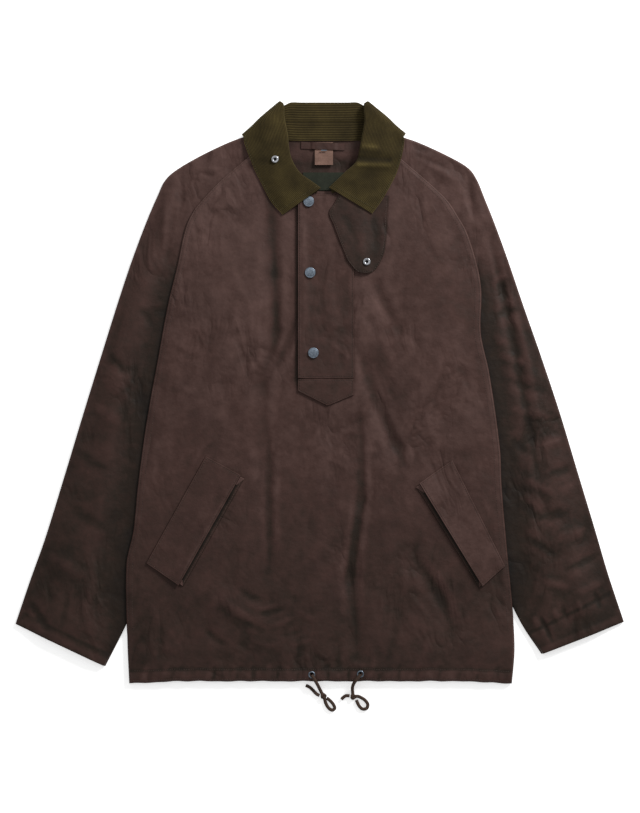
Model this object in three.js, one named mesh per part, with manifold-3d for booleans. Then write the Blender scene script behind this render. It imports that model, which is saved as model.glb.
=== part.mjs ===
// A waxed cotton pullover jacket with a half placket, laid flat with its front up.
// Millimetres. X runs across the jacket, Y from the hem to the collar, Z up from the surface.
// Right and left are the wearer's, so the right sleeve lies on the side where X is negative.

import * as THREE from 'three';
import { mergeVertices } from 'three/addons/utils/BufferGeometryUtils.js';
import Module from 'manifold-3d';

const wasm = await Module();
wasm.setup();

// Cloth walls and the room between them
const clothWall = 1.2;
const corduroyWall = 1.5;
const doubledWall = 2.2;
const layerGap = 0.3;
const restGap = 0.6;

// Heights of the layers above the surface, where the sleeves are tucked in the body
const backTop = clothWall;
const tuckedBottom = backTop + layerGap;
const tuckedTop = 5.2;
const edgeLean = 0.8;
const frontEdgeOverSleeve = tuckedTop + layerGap + edgeLean;
const frontEdgeOverBack = backTop + layerGap + edgeLean;
const frontRimTop = 9;
const frontMidTop = 10.7;
const frontEdgeRound = 4;
const sleeveLoft = 5.5;
const backInset = 3;

// The collar: its fall goes round the neck and under the back, which lies on it there
const collarFallTop = 16.4;
const collarRollHeight = 4.8;
const neckLift = corduroyWall + layerGap;
const neckLiftFrom = 318;
const neckLiftLength = 20;
const neckMiddle = 6;
const neckLiftHalf = 116;

// Lengths of the body
const hemY = -403;
const shoulderY = 354.2;

const colours = {
  waxedCotton: 0x45352f,
  waxedCottonInside: 0x43352f,
  corduroy: 0x3b3522,
  webbing: 0x6f544b,
  label: 0x282a22,
  gunmetal: 0x58606b,
  silver: 0xb9bcc0,
  cord: 0x2b201b,
};

// Side edges of the front: the side fold up to the armhole, then the raglan seam to the neck
const bodyEdge = {
  right: [
    { y: -407, x: -267 }, { y: -344, x: -269.8 }, { y: -237, x: -270.8 },
    { y: -190, x: -261 }, { y: -127, x: -254.7 }, { y: -35, x: -242 },
    { y: 48, x: -227 }, { y: 127, x: -212.4 }, { y: 180, x: -199.5 },
    { y: 229, x: -189 }, { y: 249, x: -181 }, { y: 265, x: -170.5 },
    { y: 302, x: -135.2 }, { y: shoulderY, x: -72.4 },
  ],
  left: [
    { y: -407, x: 269.2 }, { y: -357, x: 273.3 }, { y: -303, x: 270.6 },
    { y: -218, x: 262.5 }, { y: -128, x: 254.8 }, { y: -75, x: 252.4 },
    { y: 30, x: 237.4 }, { y: 85, x: 225.8 }, { y: 142, x: 226.5 },
    { y: 176, x: 221.6 }, { y: 224, x: 207.2 }, { y: 245, x: 196 },
    { y: 277, x: 173.5 }, { y: shoulderY, x: 84.4 },
  ],
};

// The front's neckline, hidden by the collar
const neckline = [
  { x: -72.4, y: shoulderY }, { x: -66, y: 334 }, { x: -52, y: 310 },
  { x: -32, y: 293 }, { x: -5, y: 284.5 }, { x: 8, y: 283.5 },
  { x: 20, y: 284.5 }, { x: 42, y: 294 }, { x: 62, y: 312 },
  { x: 77, y: 334 }, { x: 84.4, y: shoulderY },
];

// Sleeve sections from cuff to neck: the outer fold and the inner one, which above the
// armpit is the raglan seam, tucked under the front
const sleeveSections = {
  right: [
    { outX: -426.6, outY: -322, inX: -300.6, inY: -381.5 },
    { outX: -405.6, outY: -260, inX: -273, inY: -327 },
    { outX: -384.6, outY: -201, inX: -246, inY: -266 },
    { outX: -358, outY: -115, inX: -218, inY: -174 },
    { outX: -331.4, outY: -27, inX: -189, inY: -74 },
    { outX: -304.8, outY: 59, inX: -160.6, inY: 8 },
    { outX: -283.8, outY: 126, inX: -163.4, inY: 90 },
    { outX: -264.2, outY: 185, inX: -172, inY: 150 },
    { outX: -243.2, outY: 241, inX: -178, inY: 205 },
    { outX: -227.8, outY: 277, inX: -174, inY: 240 },
    { outX: -216.6, outY: 300, inX: -163, inY: 259 },
    { outX: -198.4, outY: 316, inX: -148, inY: 274.5 },
    { outX: -163.4, outY: 336, inX: -129, inY: 295 },
    { outX: -128.4, outY: 352.5, inX: -109, inY: 312 },
    { outX: -102, outY: 362, inX: -91, inY: 329 },
    { outX: -76, outY: 373, inX: -73.5, inY: 344 },
  ],
  left: [
    { outX: 426.6, outY: -319.2, inX: 310.8, inY: -364.3 },
    { outX: 404.3, outY: -252, inX: 280, inY: -317 },
    { outX: 386.1, outY: -190, inX: 250, inY: -250 },
    { outX: 360.2, outY: -104, inX: 222, inY: -155 },
    { outX: 336.4, outY: -25, inX: 194, inY: -66 },
    { outX: 309.8, outY: 55, inX: 162.8, inY: 8 },
    { outX: 286, outY: 123, inX: 168.4, inY: 90 },
    { outX: 263.6, outY: 189, inX: 183, inY: 152 },
    { outX: 245.4, outY: 239, inX: 198, inY: 208 },
    { outX: 231.4, outY: 274, inX: 190, inY: 238 },
    { outX: 220.2, outY: 301, inX: 176.5, inY: 258.5 },
    { outX: 207, outY: 318, inX: 163, inY: 273 },
    { outX: 178.2, outY: 334.6, inX: 145, inY: 291 },
    { outX: 140.4, outY: 352, inX: 124, inY: 310 },
    { outX: 114, outY: 361, inX: 104, inY: 328 },
    { outX: 88, outY: 373, inX: 85.5, inY: 344 },
  ],
};
const armpitSection = 5;

// Largest folds, each a soft ridge, or a valley where rise is negative, along a line
const frontFolds = [
  { fromX: -64, fromY: 240, toX: -61, toY: 85, rise: -2.4, width: 15 },
  { fromX: -61, fromY: 85, toX: -79, toY: 10, rise: -1.8, width: 15 },
  { fromX: -79, fromY: 10, toX: -75, toY: -120, rise: -1.8, width: 16 },
  { fromX: -71, fromY: -150, toX: -71, toY: -250, rise: -1.2, width: 16 },
  { fromX: 70, fromY: 40, toX: 105, toY: -70, rise: -2.4, width: 15 },
  { fromX: 105, fromY: -70, toX: 128, toY: -115, rise: -1.8, width: 14 },
  { fromX: 52, fromY: -40, toX: 58, toY: -150, rise: -1.8, width: 15 },
  { fromX: 58, fromY: -150, toX: 42, toY: -258, rise: -2.2, width: 15 },
  { fromX: 42, fromY: -258, toX: 54, toY: -380, rise: -2.4, width: 15 },
  { fromX: 129, fromY: -225, toX: 184, toY: -326, rise: -2, width: 15 },
  { fromX: 84, fromY: 150, toX: 110, toY: 95, rise: -1.6, width: 16 },
  { fromX: -137, fromY: -288, toX: -92, toY: -316, rise: 1.8, width: 15 },
  { fromX: -150, fromY: 200, toX: -120, toY: 60, rise: 1.5, width: 26 },
  { fromX: 150, fromY: 200, toX: 175, toY: 20, rise: 1.5, width: 26 },
];
const sleeveFolds = [
  { fromX: -193, fromY: 300, toX: -193, toY: 220, rise: -1.6, width: 11 },
  { fromX: -212, fromY: 280, toX: -214, toY: 175, rise: 2.2, width: 12 },
  { fromX: -238, fromY: 190, toX: -290, toY: 20, rise: 1.5, width: 18 },
  { fromX: -300, fromY: -60, toX: -345, toY: -220, rise: -1.5, width: 20 },
  { fromX: 211, fromY: 305, toX: 214, toY: 240, rise: -2.4, width: 11 },
  { fromX: 236, fromY: 230, toX: 254, toY: 150, rise: -2.4, width: 13 },
  { fromX: 254, fromY: 150, toX: 296, toY: -57, rise: -2, width: 14 },
  { fromX: 296, fromY: -57, toX: 318, toY: -160, rise: -1.8, width: 15 },
  { fromX: 350, fromY: -200, toX: 365, toY: -300, rise: 1.6, width: 16 },
];

// Placket band, its pointed end and what lies beside it
const placket = { right: -30.5, left: 48, bottom: 22, top: 279, freeEdgeRise: 1.6 };
const placketPoint = [
  { x: -30.5, bottom: 4, top: 21.7 }, { x: -10, bottom: -6, top: 21.7 },
  { x: 10.9, bottom: -16.5, top: 21.7 }, { x: 29, bottom: -9, top: 21.7 },
  { x: 47.5, bottom: -1.4, top: 21.7 },
];
const slitWidth = 3;
const slitX = -6;

// Throat tab, fastened under the left collar leaf: rows from its round end to the collar
const throatTab = [
  { y: 169.7, right: 57, left: 71 }, { y: 173, right: 50, left: 76.5 },
  { y: 178, right: 45.5, left: 81 }, { y: 187, right: 38.6, left: 86 },
  { y: 197, right: 34.5, left: 90 }, { y: 216, right: 27, left: 93.3 },
  { y: 235, right: 20, left: 95 }, { y: 253.4, right: 13, left: 96 },
  { y: 266, right: 20, left: 96.7 }, { y: 278, right: 27, left: 97.4 },
];

// Pocket welts: a doubled flap hinged on its outer long edge, over a facing strip
const pocketWelt = {
  right: {
    outerTop: [-159.2, -86.8], innerTop: [-110.2, -113.4],
    innerBottom: [-197, -267.4], outerBottom: [-242.5, -236.6],
  },
  left: {
    outerTop: [185.2, -92.4], innerTop: [139, -124.6],
    innerBottom: [227.2, -268.8], outerBottom: [259.4, -240.8],
  },
};
const weltGape = 3.6;
const facingShows = 6.5;
const facingUnder = 6;

// The collar, from one front end round the back to the other. seam is the neck seam,
// roll the line where it folds, edge its outer edge; turn goes from 0 in front to 1 behind
const collarStations = {
  right: [
    { seamX: -5, seamY: 281.5, rollX: 1.8, rollY: 287.7, edgeX: -51.4, edgeY: 250.6, lift: 1.6 },
    { seamX: -19, seamY: 285.5, rollX: -10.8, rollY: 296.8, edgeX: -67, edgeY: 268, lift: 1 },
    { seamX: -35, seamY: 291.5, rollX: -27.6, rollY: 309.4, edgeX: -80, edgeY: 292 },
    { seamX: -54.5, seamY: 308, rollX: -38.8, rollY: 327.6, edgeX: -91, edgeY: 314 },
    { seamX: -68, seamY: 333, rollX: -43, rollY: 345.8, edgeX: -100, edgeY: 336 },
    { seamX: -68, seamY: 349, rollX: -44.4, rollY: 362.6, edgeX: -105, edgeY: 350 },
    { seamX: -64, seamY: 355, rollX: -49, rollY: 386, edgeX: -106, edgeY: 357 },
  ],
  left: [
    { seamX: 17, seamY: 281.5, rollX: 12.7, rollY: 288.5, edgeX: 73.2, edgeY: 252 },
    { seamX: 31, seamY: 286, rollX: 22.5, rollY: 297.5, edgeX: 85, edgeY: 268 },
    { seamX: 46, seamY: 293, rollX: 36, rollY: 310.5, edgeX: 97, edgeY: 288 },
    { seamX: 64, seamY: 310, rollX: 50.7, rollY: 324.2, edgeX: 107, edgeY: 308 },
    { seamX: 79, seamY: 333, rollX: 56, rollY: 344, edgeX: 114, edgeY: 330 },
    { seamX: 80, seamY: 349, rollX: 59, rollY: 361, edgeX: 117.6, edgeY: 347 },
    { seamX: 77, seamY: 355, rollX: 62.5, rollY: 383, edgeX: 118.6, edgeY: 356 },
  ],
};
const collarWrap = {
  right: { seamX: -62, seamY: 357, rollX: -50.2, rollY: 404.6, edgeX: -105.5, edgeY: 359.5 },
  left: { seamX: 75, seamY: 357, rollX: 61.7, rollY: 404.6, edgeX: 117.1, edgeY: 360.8 },
};
const collarBack = [
  { seamX: -50, seamY: 356, rollX: -41, rollY: 408.8, edgeX: -84, edgeY: 352 },
  { seamX: -30, seamY: 355, rollX: -26, rollY: 408.8, edgeX: -54, edgeY: 347.5 },
  { seamX: -12, seamY: 355, rollX: -10, rollY: 408.8, edgeX: -24, edgeY: 345 },
  { seamX: 6, seamY: 355, rollX: 6, rollY: 408.8, edgeX: 6, edgeY: 344 },
  { seamX: 24, seamY: 355, rollX: 22, rollY: 408.8, edgeX: 36, edgeY: 345 },
  { seamX: 43, seamY: 355, rollX: 38, rollY: 408.8, edgeX: 66, edgeY: 347.5 },
  { seamX: 62, seamY: 356, rollX: 53, rollY: 408.8, edgeX: 96, edgeY: 352 },
];
const wrapTurns = [0, 0.25, 0.5, 0.75, 1];
const standShare = 0.52;
const wrapOutward = { right: [-0.651, 0.759], left: [0.651, 0.759] };

// Snaps and hem eyelets
const snapRadius = 7.5;
const snapHeight = 2.6;
const socketRadius = 5.2;
const snapCaps = [
  { x: -13.3, y: 169.5 }, { x: -8.8, y: 57.4 }, { x: -15.4, y: 269 },
];
const collarSocket = { x: -62.3, y: 327.6 };
const tabSocket = { x: 65.7, y: 184.7 };
const eyeletRadius = 5;
const eyeletHole = 2.9;
const eyelets = { right: { x: -11.1, y: -392.5 }, left: { x: 57, y: -391.5 } };

// Small functions

const lerp = (a, b, t) => a + (b - a) * t;

function smooth(t) {
  const k = Math.min(Math.max(t, 0), 1);
  return k * k * (3 - 2 * k);
}

// A smooth curve through a table: one column as a function of another
function curveOf(rows, from, to) {
  const at = rows.map((row) => row[from]);
  const value = rows.map((row) => row[to]);
  const last = rows.length - 1;
  const slope = value.map((_, i) => {
    const a = Math.max(i - 1, 0);
    const b = Math.min(i + 1, last);
    return (value[b] - value[a]) / (at[b] - at[a]);
  });
  return (t) => {
    const place = Math.min(Math.max(t, at[0]), at[last]);
    let i = 0;
    while (i < last - 1 && place > at[i + 1]) i += 1;
    const span = at[i + 1] - at[i];
    const k = (place - at[i]) / span;
    const rise = (3 - 2 * k) * k * k;
    const start = span * slope[i] * k * (1 - k) * (1 - k);
    const end = span * slope[i + 1] * k * k * (k - 1);
    return lerp(value[i], value[i + 1], rise) + start + end;
  };
}

function distanceToLine(x, y, line) {
  const alongX = line.toX - line.fromX;
  const alongY = line.toY - line.fromY;
  const share = ((x - line.fromX) * alongX + (y - line.fromY) * alongY)
    / (alongX * alongX + alongY * alongY);
  const k = Math.min(Math.max(share, 0), 1);
  return Math.hypot(x - line.fromX - k * alongX, y - line.fromY - k * alongY);
}

function foldRise(x, y, folds) {
  return folds.reduce((sum, fold) => {
    const d = distanceToLine(x, y, fold) / fold.width;
    return sum + fold.rise * Math.exp(-d * d);
  }, 0);
}

// Height fields

const edgeOf = {
  right: curveOf(bodyEdge.right, 'y', 'x'),
  left: curveOf(bodyEdge.left, 'y', 'x'),
};
const necklineY = curveOf(neckline, 'x', 'y');

const sideOf = (x) => (x < neckMiddle ? 'right' : 'left');

// How far a place is outside the body's edge, negative inside it
function outsideBody(x, y) {
  const side = sideOf(x);
  return (x - edgeOf[side](y)) * (side === 'right' ? -1 : 1);
}

// The back of the collar lies under the neck and lifts all that is on it
function neckFloor(x, y) {
  const across = smooth((neckLiftHalf + 20 - Math.abs(x - neckMiddle)) / 20);
  return neckLift * smooth((y - neckLiftFrom) / neckLiftLength) * across;
}

// 1 on and close to a piece that lies on the front, 0 away from it
function nearBox(x, y, box, margin) {
  const dx = Math.max(box.lowX - x, x - box.highX, 0);
  const dy = Math.max(box.lowY - y, y - box.highY, 0);
  return 1 - smooth(Math.hypot(dx, dy) / margin);
}

function weltPoint(side, across, down) {
  const welt = pocketWelt[side];
  const top = welt.outerTop.map((v, k) => lerp(v, welt.innerTop[k], across));
  const bottom = welt.outerBottom.map((v, k) => lerp(v, welt.innerBottom[k], across));
  return top.map((v, k) => lerp(v, bottom[k], down));
}

function nearWelt(x, y, side, margin) {
  const [topX, topY] = weltPoint(side, 0.5, 0);
  const [bottomX, bottomY] = weltPoint(side, 0.5, 1);
  const middle = { fromX: topX, fromY: topY, toX: bottomX, toY: bottomY };
  return 1 - smooth((distanceToLine(x, y, middle) - 36) / margin);
}

const placketBox = { lowX: placket.right, highX: placket.left, lowY: -17, highY: 280 };
const tabBox = { lowX: 20, highX: 100, lowY: 172, highY: 283 };

function frontTop(x, y) {
  const inside = Math.max(-outsideBody(x, y), 0);
  const neckDrop = (frontMidTop - frontRimTop) * smooth((y - 190) / 70);
  const middle = frontMidTop - neckDrop;
  const calm = 1 - Math.max(
    nearBox(x, y, placketBox, 14),
    nearBox(x, y, tabBox, 14),
    nearWelt(x, y, 'right', 20),
    nearWelt(x, y, 'left', 20),
    smooth((y - 235) / 40),
    smooth((-366 - y) / 16),
  );
  const folds = foldRise(x, y, frontFolds) * calm * smooth(inside / 30);
  return lerp(frontRimTop, middle, smooth(inside / 45)) + folds + neckFloor(x, y);
}

function sleeveBottom(x, y) {
  const overBack = 1 - smooth((outsideBody(x, y) - 16) / 16);
  return tuckedBottom * overBack + neckFloor(x, y);
}

function sleeveTop(x, y, fromFold) {
  const free = smooth((outsideBody(x, y) - 14) / 40) * smooth(fromFold / 50);
  const folds = foldRise(x, y, sleeveFolds) * smooth((outsideBody(x, y) - 16) / 22)
    * smooth(fromFold / 22);
  return tuckedTop + sleeveLoft * free + folds + neckFloor(x, y);
}

// The tab lies on the front, and where it reaches over the placket on that
const tabRise = (x, y) => (
  (doubledWall + layerGap) * nearBox(x, y, { ...placketBox, highX: 58 }, 22)
);

// The highest of what the collar leaves lie on
function underCollar(x, y) {
  const outside = outsideBody(x, y);
  const rim = frontRimTop + neckFloor(x, y);
  const onSleeve = Math.max(sleeveTop(x, y, 50), lerp(rim, tuckedTop, smooth((outside - 8) / 12)));
  const open = outside > 0 ? onSleeve : frontTop(x, y);
  const onPlacket = nearBox(x, y, placketBox, 10) * (restGap + doubledWall);
  const onTab = nearBox(x, y, tabBox, 12) * (restGap + doubledWall + tabRise(x, y));
  return open + Math.max(onPlacket, onTab);
}

// Solids

function solid(positions, faces) {
  const geometry = new THREE.BufferGeometry();
  geometry.setAttribute('position', new THREE.Float32BufferAttribute(positions, 3));
  geometry.setIndex(faces);
  return geometry;
}

// A cloth wall under a grid of outer points. wrap joins the last column to the first,
// and has tells which cells of the grid are there
function wall(rows, thickness, { wrap = false, has = () => true } = {}) {
  const columns = rows[0].length;
  const outer = rows.flat();
  const cells = [];
  for (let i = 0; i < rows.length - 1; i += 1) {
    for (let j = 0; j < (wrap ? columns : columns - 1); j += 1) {
      const k = (j + 1) % columns;
      const cell = [i * columns + j, i * columns + k, (i + 1) * columns + k, (i + 1) * columns + j];
      if (has(i, j)) cells.push(cell);
    }
  }
  const normals = outer.map(() => new THREE.Vector3());
  const directed = new Set();
  for (const cell of cells) {
    const across = new THREE.Vector3().subVectors(outer[cell[2]], outer[cell[0]]);
    const other = new THREE.Vector3().subVectors(outer[cell[3]], outer[cell[1]]);
    const normal = across.cross(other);
    cell.forEach((corner, c) => {
      normals[corner].add(normal);
      directed.add(`${corner} ${cell[(c + 1) % 4]}`);
    });
  }
  const inner = outer.map((p, i) => p.clone().addScaledVector(normals[i].normalize(), -thickness));
  const positions = [...outer, ...inner].flatMap((p) => [p.x, p.y, p.z]);
  const shift = outer.length;
  const faces = [];
  const addQuad = (a, b, c, d) => faces.push(a, b, c, a, c, d);
  for (const [a, b, c, d] of cells) {
    addQuad(a, b, c, d);
    addQuad(a + shift, d + shift, c + shift, b + shift);
    for (const [p, q] of [[a, b], [b, c], [c, d], [d, a]]) {
      if (!directed.has(`${q} ${p}`)) addQuad(q, p, p + shift, q + shift);
    }
  }
  return solid(positions, faces);
}

function toManifold(geometry) {
  const bare = new THREE.BufferGeometry();
  bare.setAttribute('position', geometry.getAttribute('position').clone());
  if (geometry.index) bare.setIndex(geometry.index.clone());
  const merged = mergeVertices(bare, 1e-4);
  return new wasm.Manifold(new wasm.Mesh({
    numProp: 3,
    vertProperties: new Float32Array(merged.getAttribute('position').array),
    triVerts: new Uint32Array(merged.index.array),
  }));
}

function cutOut(geometry, tools) {
  let body = toManifold(geometry);
  for (const tool of tools) body = body.subtract(toManifold(tool));
  const mesh = body.getMesh();
  return solid(Array.from(mesh.vertProperties), Array.from(mesh.triVerts));
}

const group = new THREE.Group();
group.name = 'waxed_cotton_jacket';

function add(name, geometry, colour, roughness, metalness = 0) {
  geometry.computeVertexNormals();
  const material = new THREE.MeshStandardMaterial({ color: colour, roughness, metalness });
  const mesh = new THREE.Mesh(geometry, material);
  mesh.name = name;
  group.add(mesh);
  return mesh;
}

const point = (x, y, z) => new THREE.Vector3(x, y, z);

// Front and back panels

// The columns of a panel: three round each side fold, even ones between them
function panelColumns(between) {
  const edge = [{ share: 0, in: 0 }, { share: 0, in: 1.2 }];
  const middle = Array.from({ length: between + 1 }, (_, i) => ({
    share: i / between, in: frontEdgeRound,
  }));
  return [...edge, ...middle, { share: 1, in: 1.2 }, { share: 1, in: 0 }];
}

// The share of its height that a cloth edge turned down in a round has kept
const turnedShare = (inwards) => {
  const k = 1 - Math.min(inwards / frontEdgeRound, 1);
  return Math.sqrt(1 - k * k);
};

function hemLine(x) {
  const corner = smooth((Math.abs(x) - 200) / 60);
  return hemY - 3 * corner;
}

function frontPanel() {
  const columns = panelColumns(24);
  const evenRows = 34;
  const rowPlaces = [{ v: 0, up: 0 }, { v: 0, up: 1.2 }];
  for (let i = 0; i <= evenRows; i += 1) rowPlaces.push({ v: i / evenRows, up: frontEdgeRound });
  const rows = rowPlaces.map(({ v, up }) => columns.map((column) => {
    const sideY = lerp(hemY + up, shoulderY, v);
    const rightX = edgeOf.right(sideY) + column.in;
    const leftX = edgeOf.left(sideY) - column.in;
    const x = lerp(rightX, leftX, column.share);
    const topX = lerp(neckline[0].x, neckline[neckline.length - 1].x, column.share);
    const dip = (shoulderY - necklineY(topX)) * v * v;
    const y = sideY - dip + (hemLine(x) - hemY) * (1 - v) ** 4;
    const overSleeve = smooth((y + (x < 0 ? 345 : 325)) / 20);
    const low = lerp(frontEdgeOverBack, frontEdgeOverSleeve, overSleeve) + neckFloor(x, y);
    const kept = turnedShare(column.in) * (v === 0 ? turnedShare(up) : 1);
    return point(x, y, lerp(low, frontTop(x, y), kept));
  }));
  const slitLength = shoulderY - placket.bottom;
  const slit = new THREE.BoxGeometry(slitWidth, slitLength, 40);
  slit.translate(slitX, placket.bottom + 4 + slitLength / 2, 10);
  const holes = Object.values(eyelets).map((place) => {
    const hole = new THREE.CylinderGeometry(eyeletHole, eyeletHole, 8, 16);
    hole.rotateX(Math.PI / 2);
    hole.translate(place.x, place.y, frontTop(place.x, place.y));
    return hole;
  });
  const mouths = ['right', 'left'].map((side) => {
    const [topX, topY] = weltPoint(side, 0.82, 0.06);
    const [bottomX, bottomY] = weltPoint(side, 0.82, 0.94);
    const length = Math.hypot(bottomX - topX, bottomY - topY);
    const mouth = new THREE.BoxGeometry(slitWidth, length, 8);
    mouth.rotateZ(Math.atan2(bottomY - topY, bottomX - topX) + Math.PI / 2);
    mouth.translate((topX + bottomX) / 2, (topY + bottomY) / 2, frontMidTop);
    return mouth;
  });
  add('front', cutOut(wall(rows, clothWall), [slit, ...holes, ...mouths]), colours.waxedCotton, 0.55);
}

function backPanel() {
  const across = 12;
  const bodyRows = Array.from({ length: 15 }, (_, i) => lerp(hemY + 2, 300, i / 15));
  const neckRows = Array.from({ length: 8 }, (_, i) => lerp(300, 357, i / 7));
  const rows = [];
  for (const sideY of [...bodyRows, ...neckRows]) {
    const row = [];
    for (let j = 0; j <= across; j += 1) {
      const rightX = edgeOf.right(sideY) + backInset;
      const leftX = edgeOf.left(sideY) - backInset;
      const x = lerp(rightX, leftX, j / across);
      row.push(point(x, sideY, backTop + neckFloor(x, sideY)));
    }
    rows.push(row);
  }
  add('back', wall(rows, clothWall), colours.waxedCottonInside, 0.6);
}

// Sleeves

// One section, as outer points from the inner fold over the top, round the outer fold,
// back below, and round the inner fold again
function sleeveSection(place) {
  const width = Math.hypot(place.inX - place.outX, place.inY - place.outY);
  const towardsX = (place.inX - place.outX) / width;
  const towardsY = (place.inY - place.outY) / width;
  const at = (q) => [place.outX + towardsX * q, place.outY + towardsY * q];
  const foldAt = (q) => {
    const [x, y] = at(q);
    const top = sleeveTop(x, y, 0);
    const bottom = sleeveBottom(x, y);
    return { radius: (top - bottom) / 2, middle: (top + bottom) / 2 };
  };
  const outer = foldAt(0);
  const inner = foldAt(width);
  const topShares = [0, 0.12, 0.27, 0.43, 0.6, 0.78, 1];
  const bottomShares = [0, 0.2, 0.42, 0.62, 0.82, 1];
  const roundAngles = [45, 90, 135].map((angle) => (angle * Math.PI) / 180);
  const from = outer.radius;
  const to = width - inner.radius;
  const section = [];
  for (const share of [...topShares].reverse()) {
    const q = lerp(from, to, share);
    const [x, y] = at(q);
    section.push(point(x, y, sleeveTop(x, y, q - from)));
  }
  for (const angle of roundAngles) {
    const [x, y] = at(from - outer.radius * Math.sin(angle));
    section.push(point(x, y, outer.middle + outer.radius * Math.cos(angle)));
  }
  for (const share of bottomShares) {
    const [x, y] = at(lerp(from, to, share));
    section.push(point(x, y, sleeveBottom(x, y)));
  }
  for (const angle of roundAngles) {
    const [x, y] = at(to + inner.radius * Math.sin(angle));
    section.push(point(x, y, inner.middle - inner.radius * Math.cos(angle)));
  }
  return section;
}

function sleeve(side) {
  const table = sleeveSections[side].map((row, at) => ({ ...row, at }));
  const curves = Object.fromEntries(
    ['outX', 'outY', 'inX', 'inY'].map((key) => [key, curveOf(table, 'at', key)]),
  );
  const steps = 2;
  const count = (table.length - 1) * steps;
  const rows = [];
  for (let i = 0; i <= count; i += 1) {
    const at = i / steps;
    const place = Object.fromEntries(Object.entries(curves).map(([key, f]) => [key, f(at)]));
    rows.push(sleeveSection(place));
  }
  if (side === 'right') rows.forEach((row) => row.reverse());
  const columns = rows[0].length;
  const armpitRow = armpitSection * steps;
  const closing = side === 'left' ? (j) => j >= columns - 4 : (j) => j < 3 || j === columns - 1;
  const has = (i, j) => i < armpitRow || !closing(j);
  add(`sleeve_${side}`, wall(rows, clothWall, { wrap: true, has }), colours.waxedCotton, 0.55);
}

// The collar

// The outer points across one station: up the stand, round the roll and out over the fall.
// turn takes them from the front, through the side of the neck, to the back
function collarProfile(station, turn, outward) {
  const { seamX, seamY, rollX, rollY, edgeX, edgeY } = station;
  const fallX = edgeX - rollX;
  const fallY = edgeY - rollY;
  const fallLength = Math.hypot(fallX, fallY);
  const rollRadius = collarRollHeight / 2;
  const foldX = rollX + (fallX / fallLength) * rollRadius;
  const foldY = rollY + (fallY / fallLength) * rollRadius;
  const angle = turn * Math.PI;
  const place = (x, y, inFront, behind) => {
    const middle = (inFront + behind) / 2;
    const radius = (inFront - behind) / 2;
    const out = radius * Math.sin(angle);
    return point(x + outward[0] * out, y + outward[1] * out, middle + radius * Math.cos(angle));
  };
  const lift = station.lift ?? 0;
  const rollBottom = collarFallTop - collarRollHeight + lift;
  const stand = [0, standShare / 2, standShare, (1 + standShare) / 2, 1].map((share) => {
    const x = lerp(seamX, foldX, share);
    const y = lerp(seamY, foldY, share);
    const onPanel = Math.min(frontTop(x, y) + restGap, rollBottom);
    const inFront = lerp(onPanel, rollBottom, Math.sqrt(share));
    return place(x, y, inFront, collarRollHeight);
  });
  const roll = [45, 90, 135].map((degrees) => {
    const along = (degrees * Math.PI) / 180;
    const back = rollRadius * Math.sin(along);
    const rise = rollRadius * (1 - Math.cos(along));
    const x = foldX - (fallX / fallLength) * back;
    const y = foldY - (fallY / fallLength) * back;
    return place(x, y, rollBottom + rise, collarRollHeight - rise);
  });
  const fall = [0, 0.25, 0.5, 0.75, 1].map((share) => {
    const x = foldX + (edgeX - foldX) * share;
    const y = foldY + (edgeY - foldY) * share;
    const lying = underCollar(x, y) + restGap + corduroyWall;
    const hanging = lerp(collarFallTop + lift, lying, share * share);
    return place(x, y, Math.max(hanging, lying), 0);
  });
  return [...stand, ...roll, ...fall];
}

function collar() {
  const half = (side) => {
    const front = collarStations[side].map((row) => collarProfile(row, 0, [0, 0]));
    const wrap = wrapTurns.map((turn) => collarProfile(collarWrap[side], turn, wrapOutward[side]));
    return [...front, ...wrap];
  };
  const behind = collarBack.map((row) => collarProfile(row, 1, [0, 0]));
  const rows = [...half('left'), ...behind.reverse(), ...half('right').reverse()];
  const seamAt = 2;
  const stand = rows.map((row) => row.slice(0, seamAt + 1));
  const fall = rows.map((row) => {
    const rest = row.slice(seamAt);
    const apart = rest[1].clone().sub(rest[0]).setLength(restGap);
    rest[0] = rest[0].clone().add(apart);
    return rest;
  });
  add('collar_stand', wall(stand, corduroyWall), colours.corduroy, 0.95);
  add('collar_fall', wall(fall, corduroyWall), colours.corduroy, 0.95);
}

// What lies on the front

// Rows of points on the front, each raised by a height and by the wall that lies on it
function onFront(rows, thickness, extra = () => 0, gap = restGap) {
  return rows.map((row, i) => row.map(([x, y], j) => (
    point(x, y, frontTop(x, y) + gap + thickness + extra(i, j, x, y)))));
}

function placketBand() {
  const across = [0, 0.05, 0.16, 0.34, 0.52, 0.7, 0.86, 1];
  const steps = 16;
  const rows = [];
  for (let i = 0; i <= steps; i += 1) {
    const y = lerp(placket.bottom, placket.top, i / steps);
    rows.push(across.map((share) => [lerp(placket.right, placket.left, share), y]));
  }
  const raised = (i, j) => placket.freeEdgeRise * (1 - smooth(across[j] / 0.3));
  add('placket', wall(onFront(rows, doubledWall, raised), doubledWall), colours.waxedCotton, 0.55);
  const pointRows = [0, 0.5, 1].map((share) => placketPoint.map((row) => (
    [row.x, lerp(row.bottom, row.top - layerGap, share)])));
  const pointWall = wall(onFront(pointRows, doubledWall), doubledWall);
  add('placket_point', pointWall, colours.waxedCotton, 0.55);
}

function tabAndItsSocket() {
  const across = [0, 0.16, 0.33, 0.5, 0.67, 0.84, 1];
  const rows = throatTab.map((row) => across.map((share) => (
    [lerp(row.right, row.left, share), row.y])));
  const raised = (i, j, x, y) => tabRise(x, y);
  add('throat_tab', wall(onFront(rows, doubledWall, raised), doubledWall), colours.waxedCotton, 0.55);
}

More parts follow.
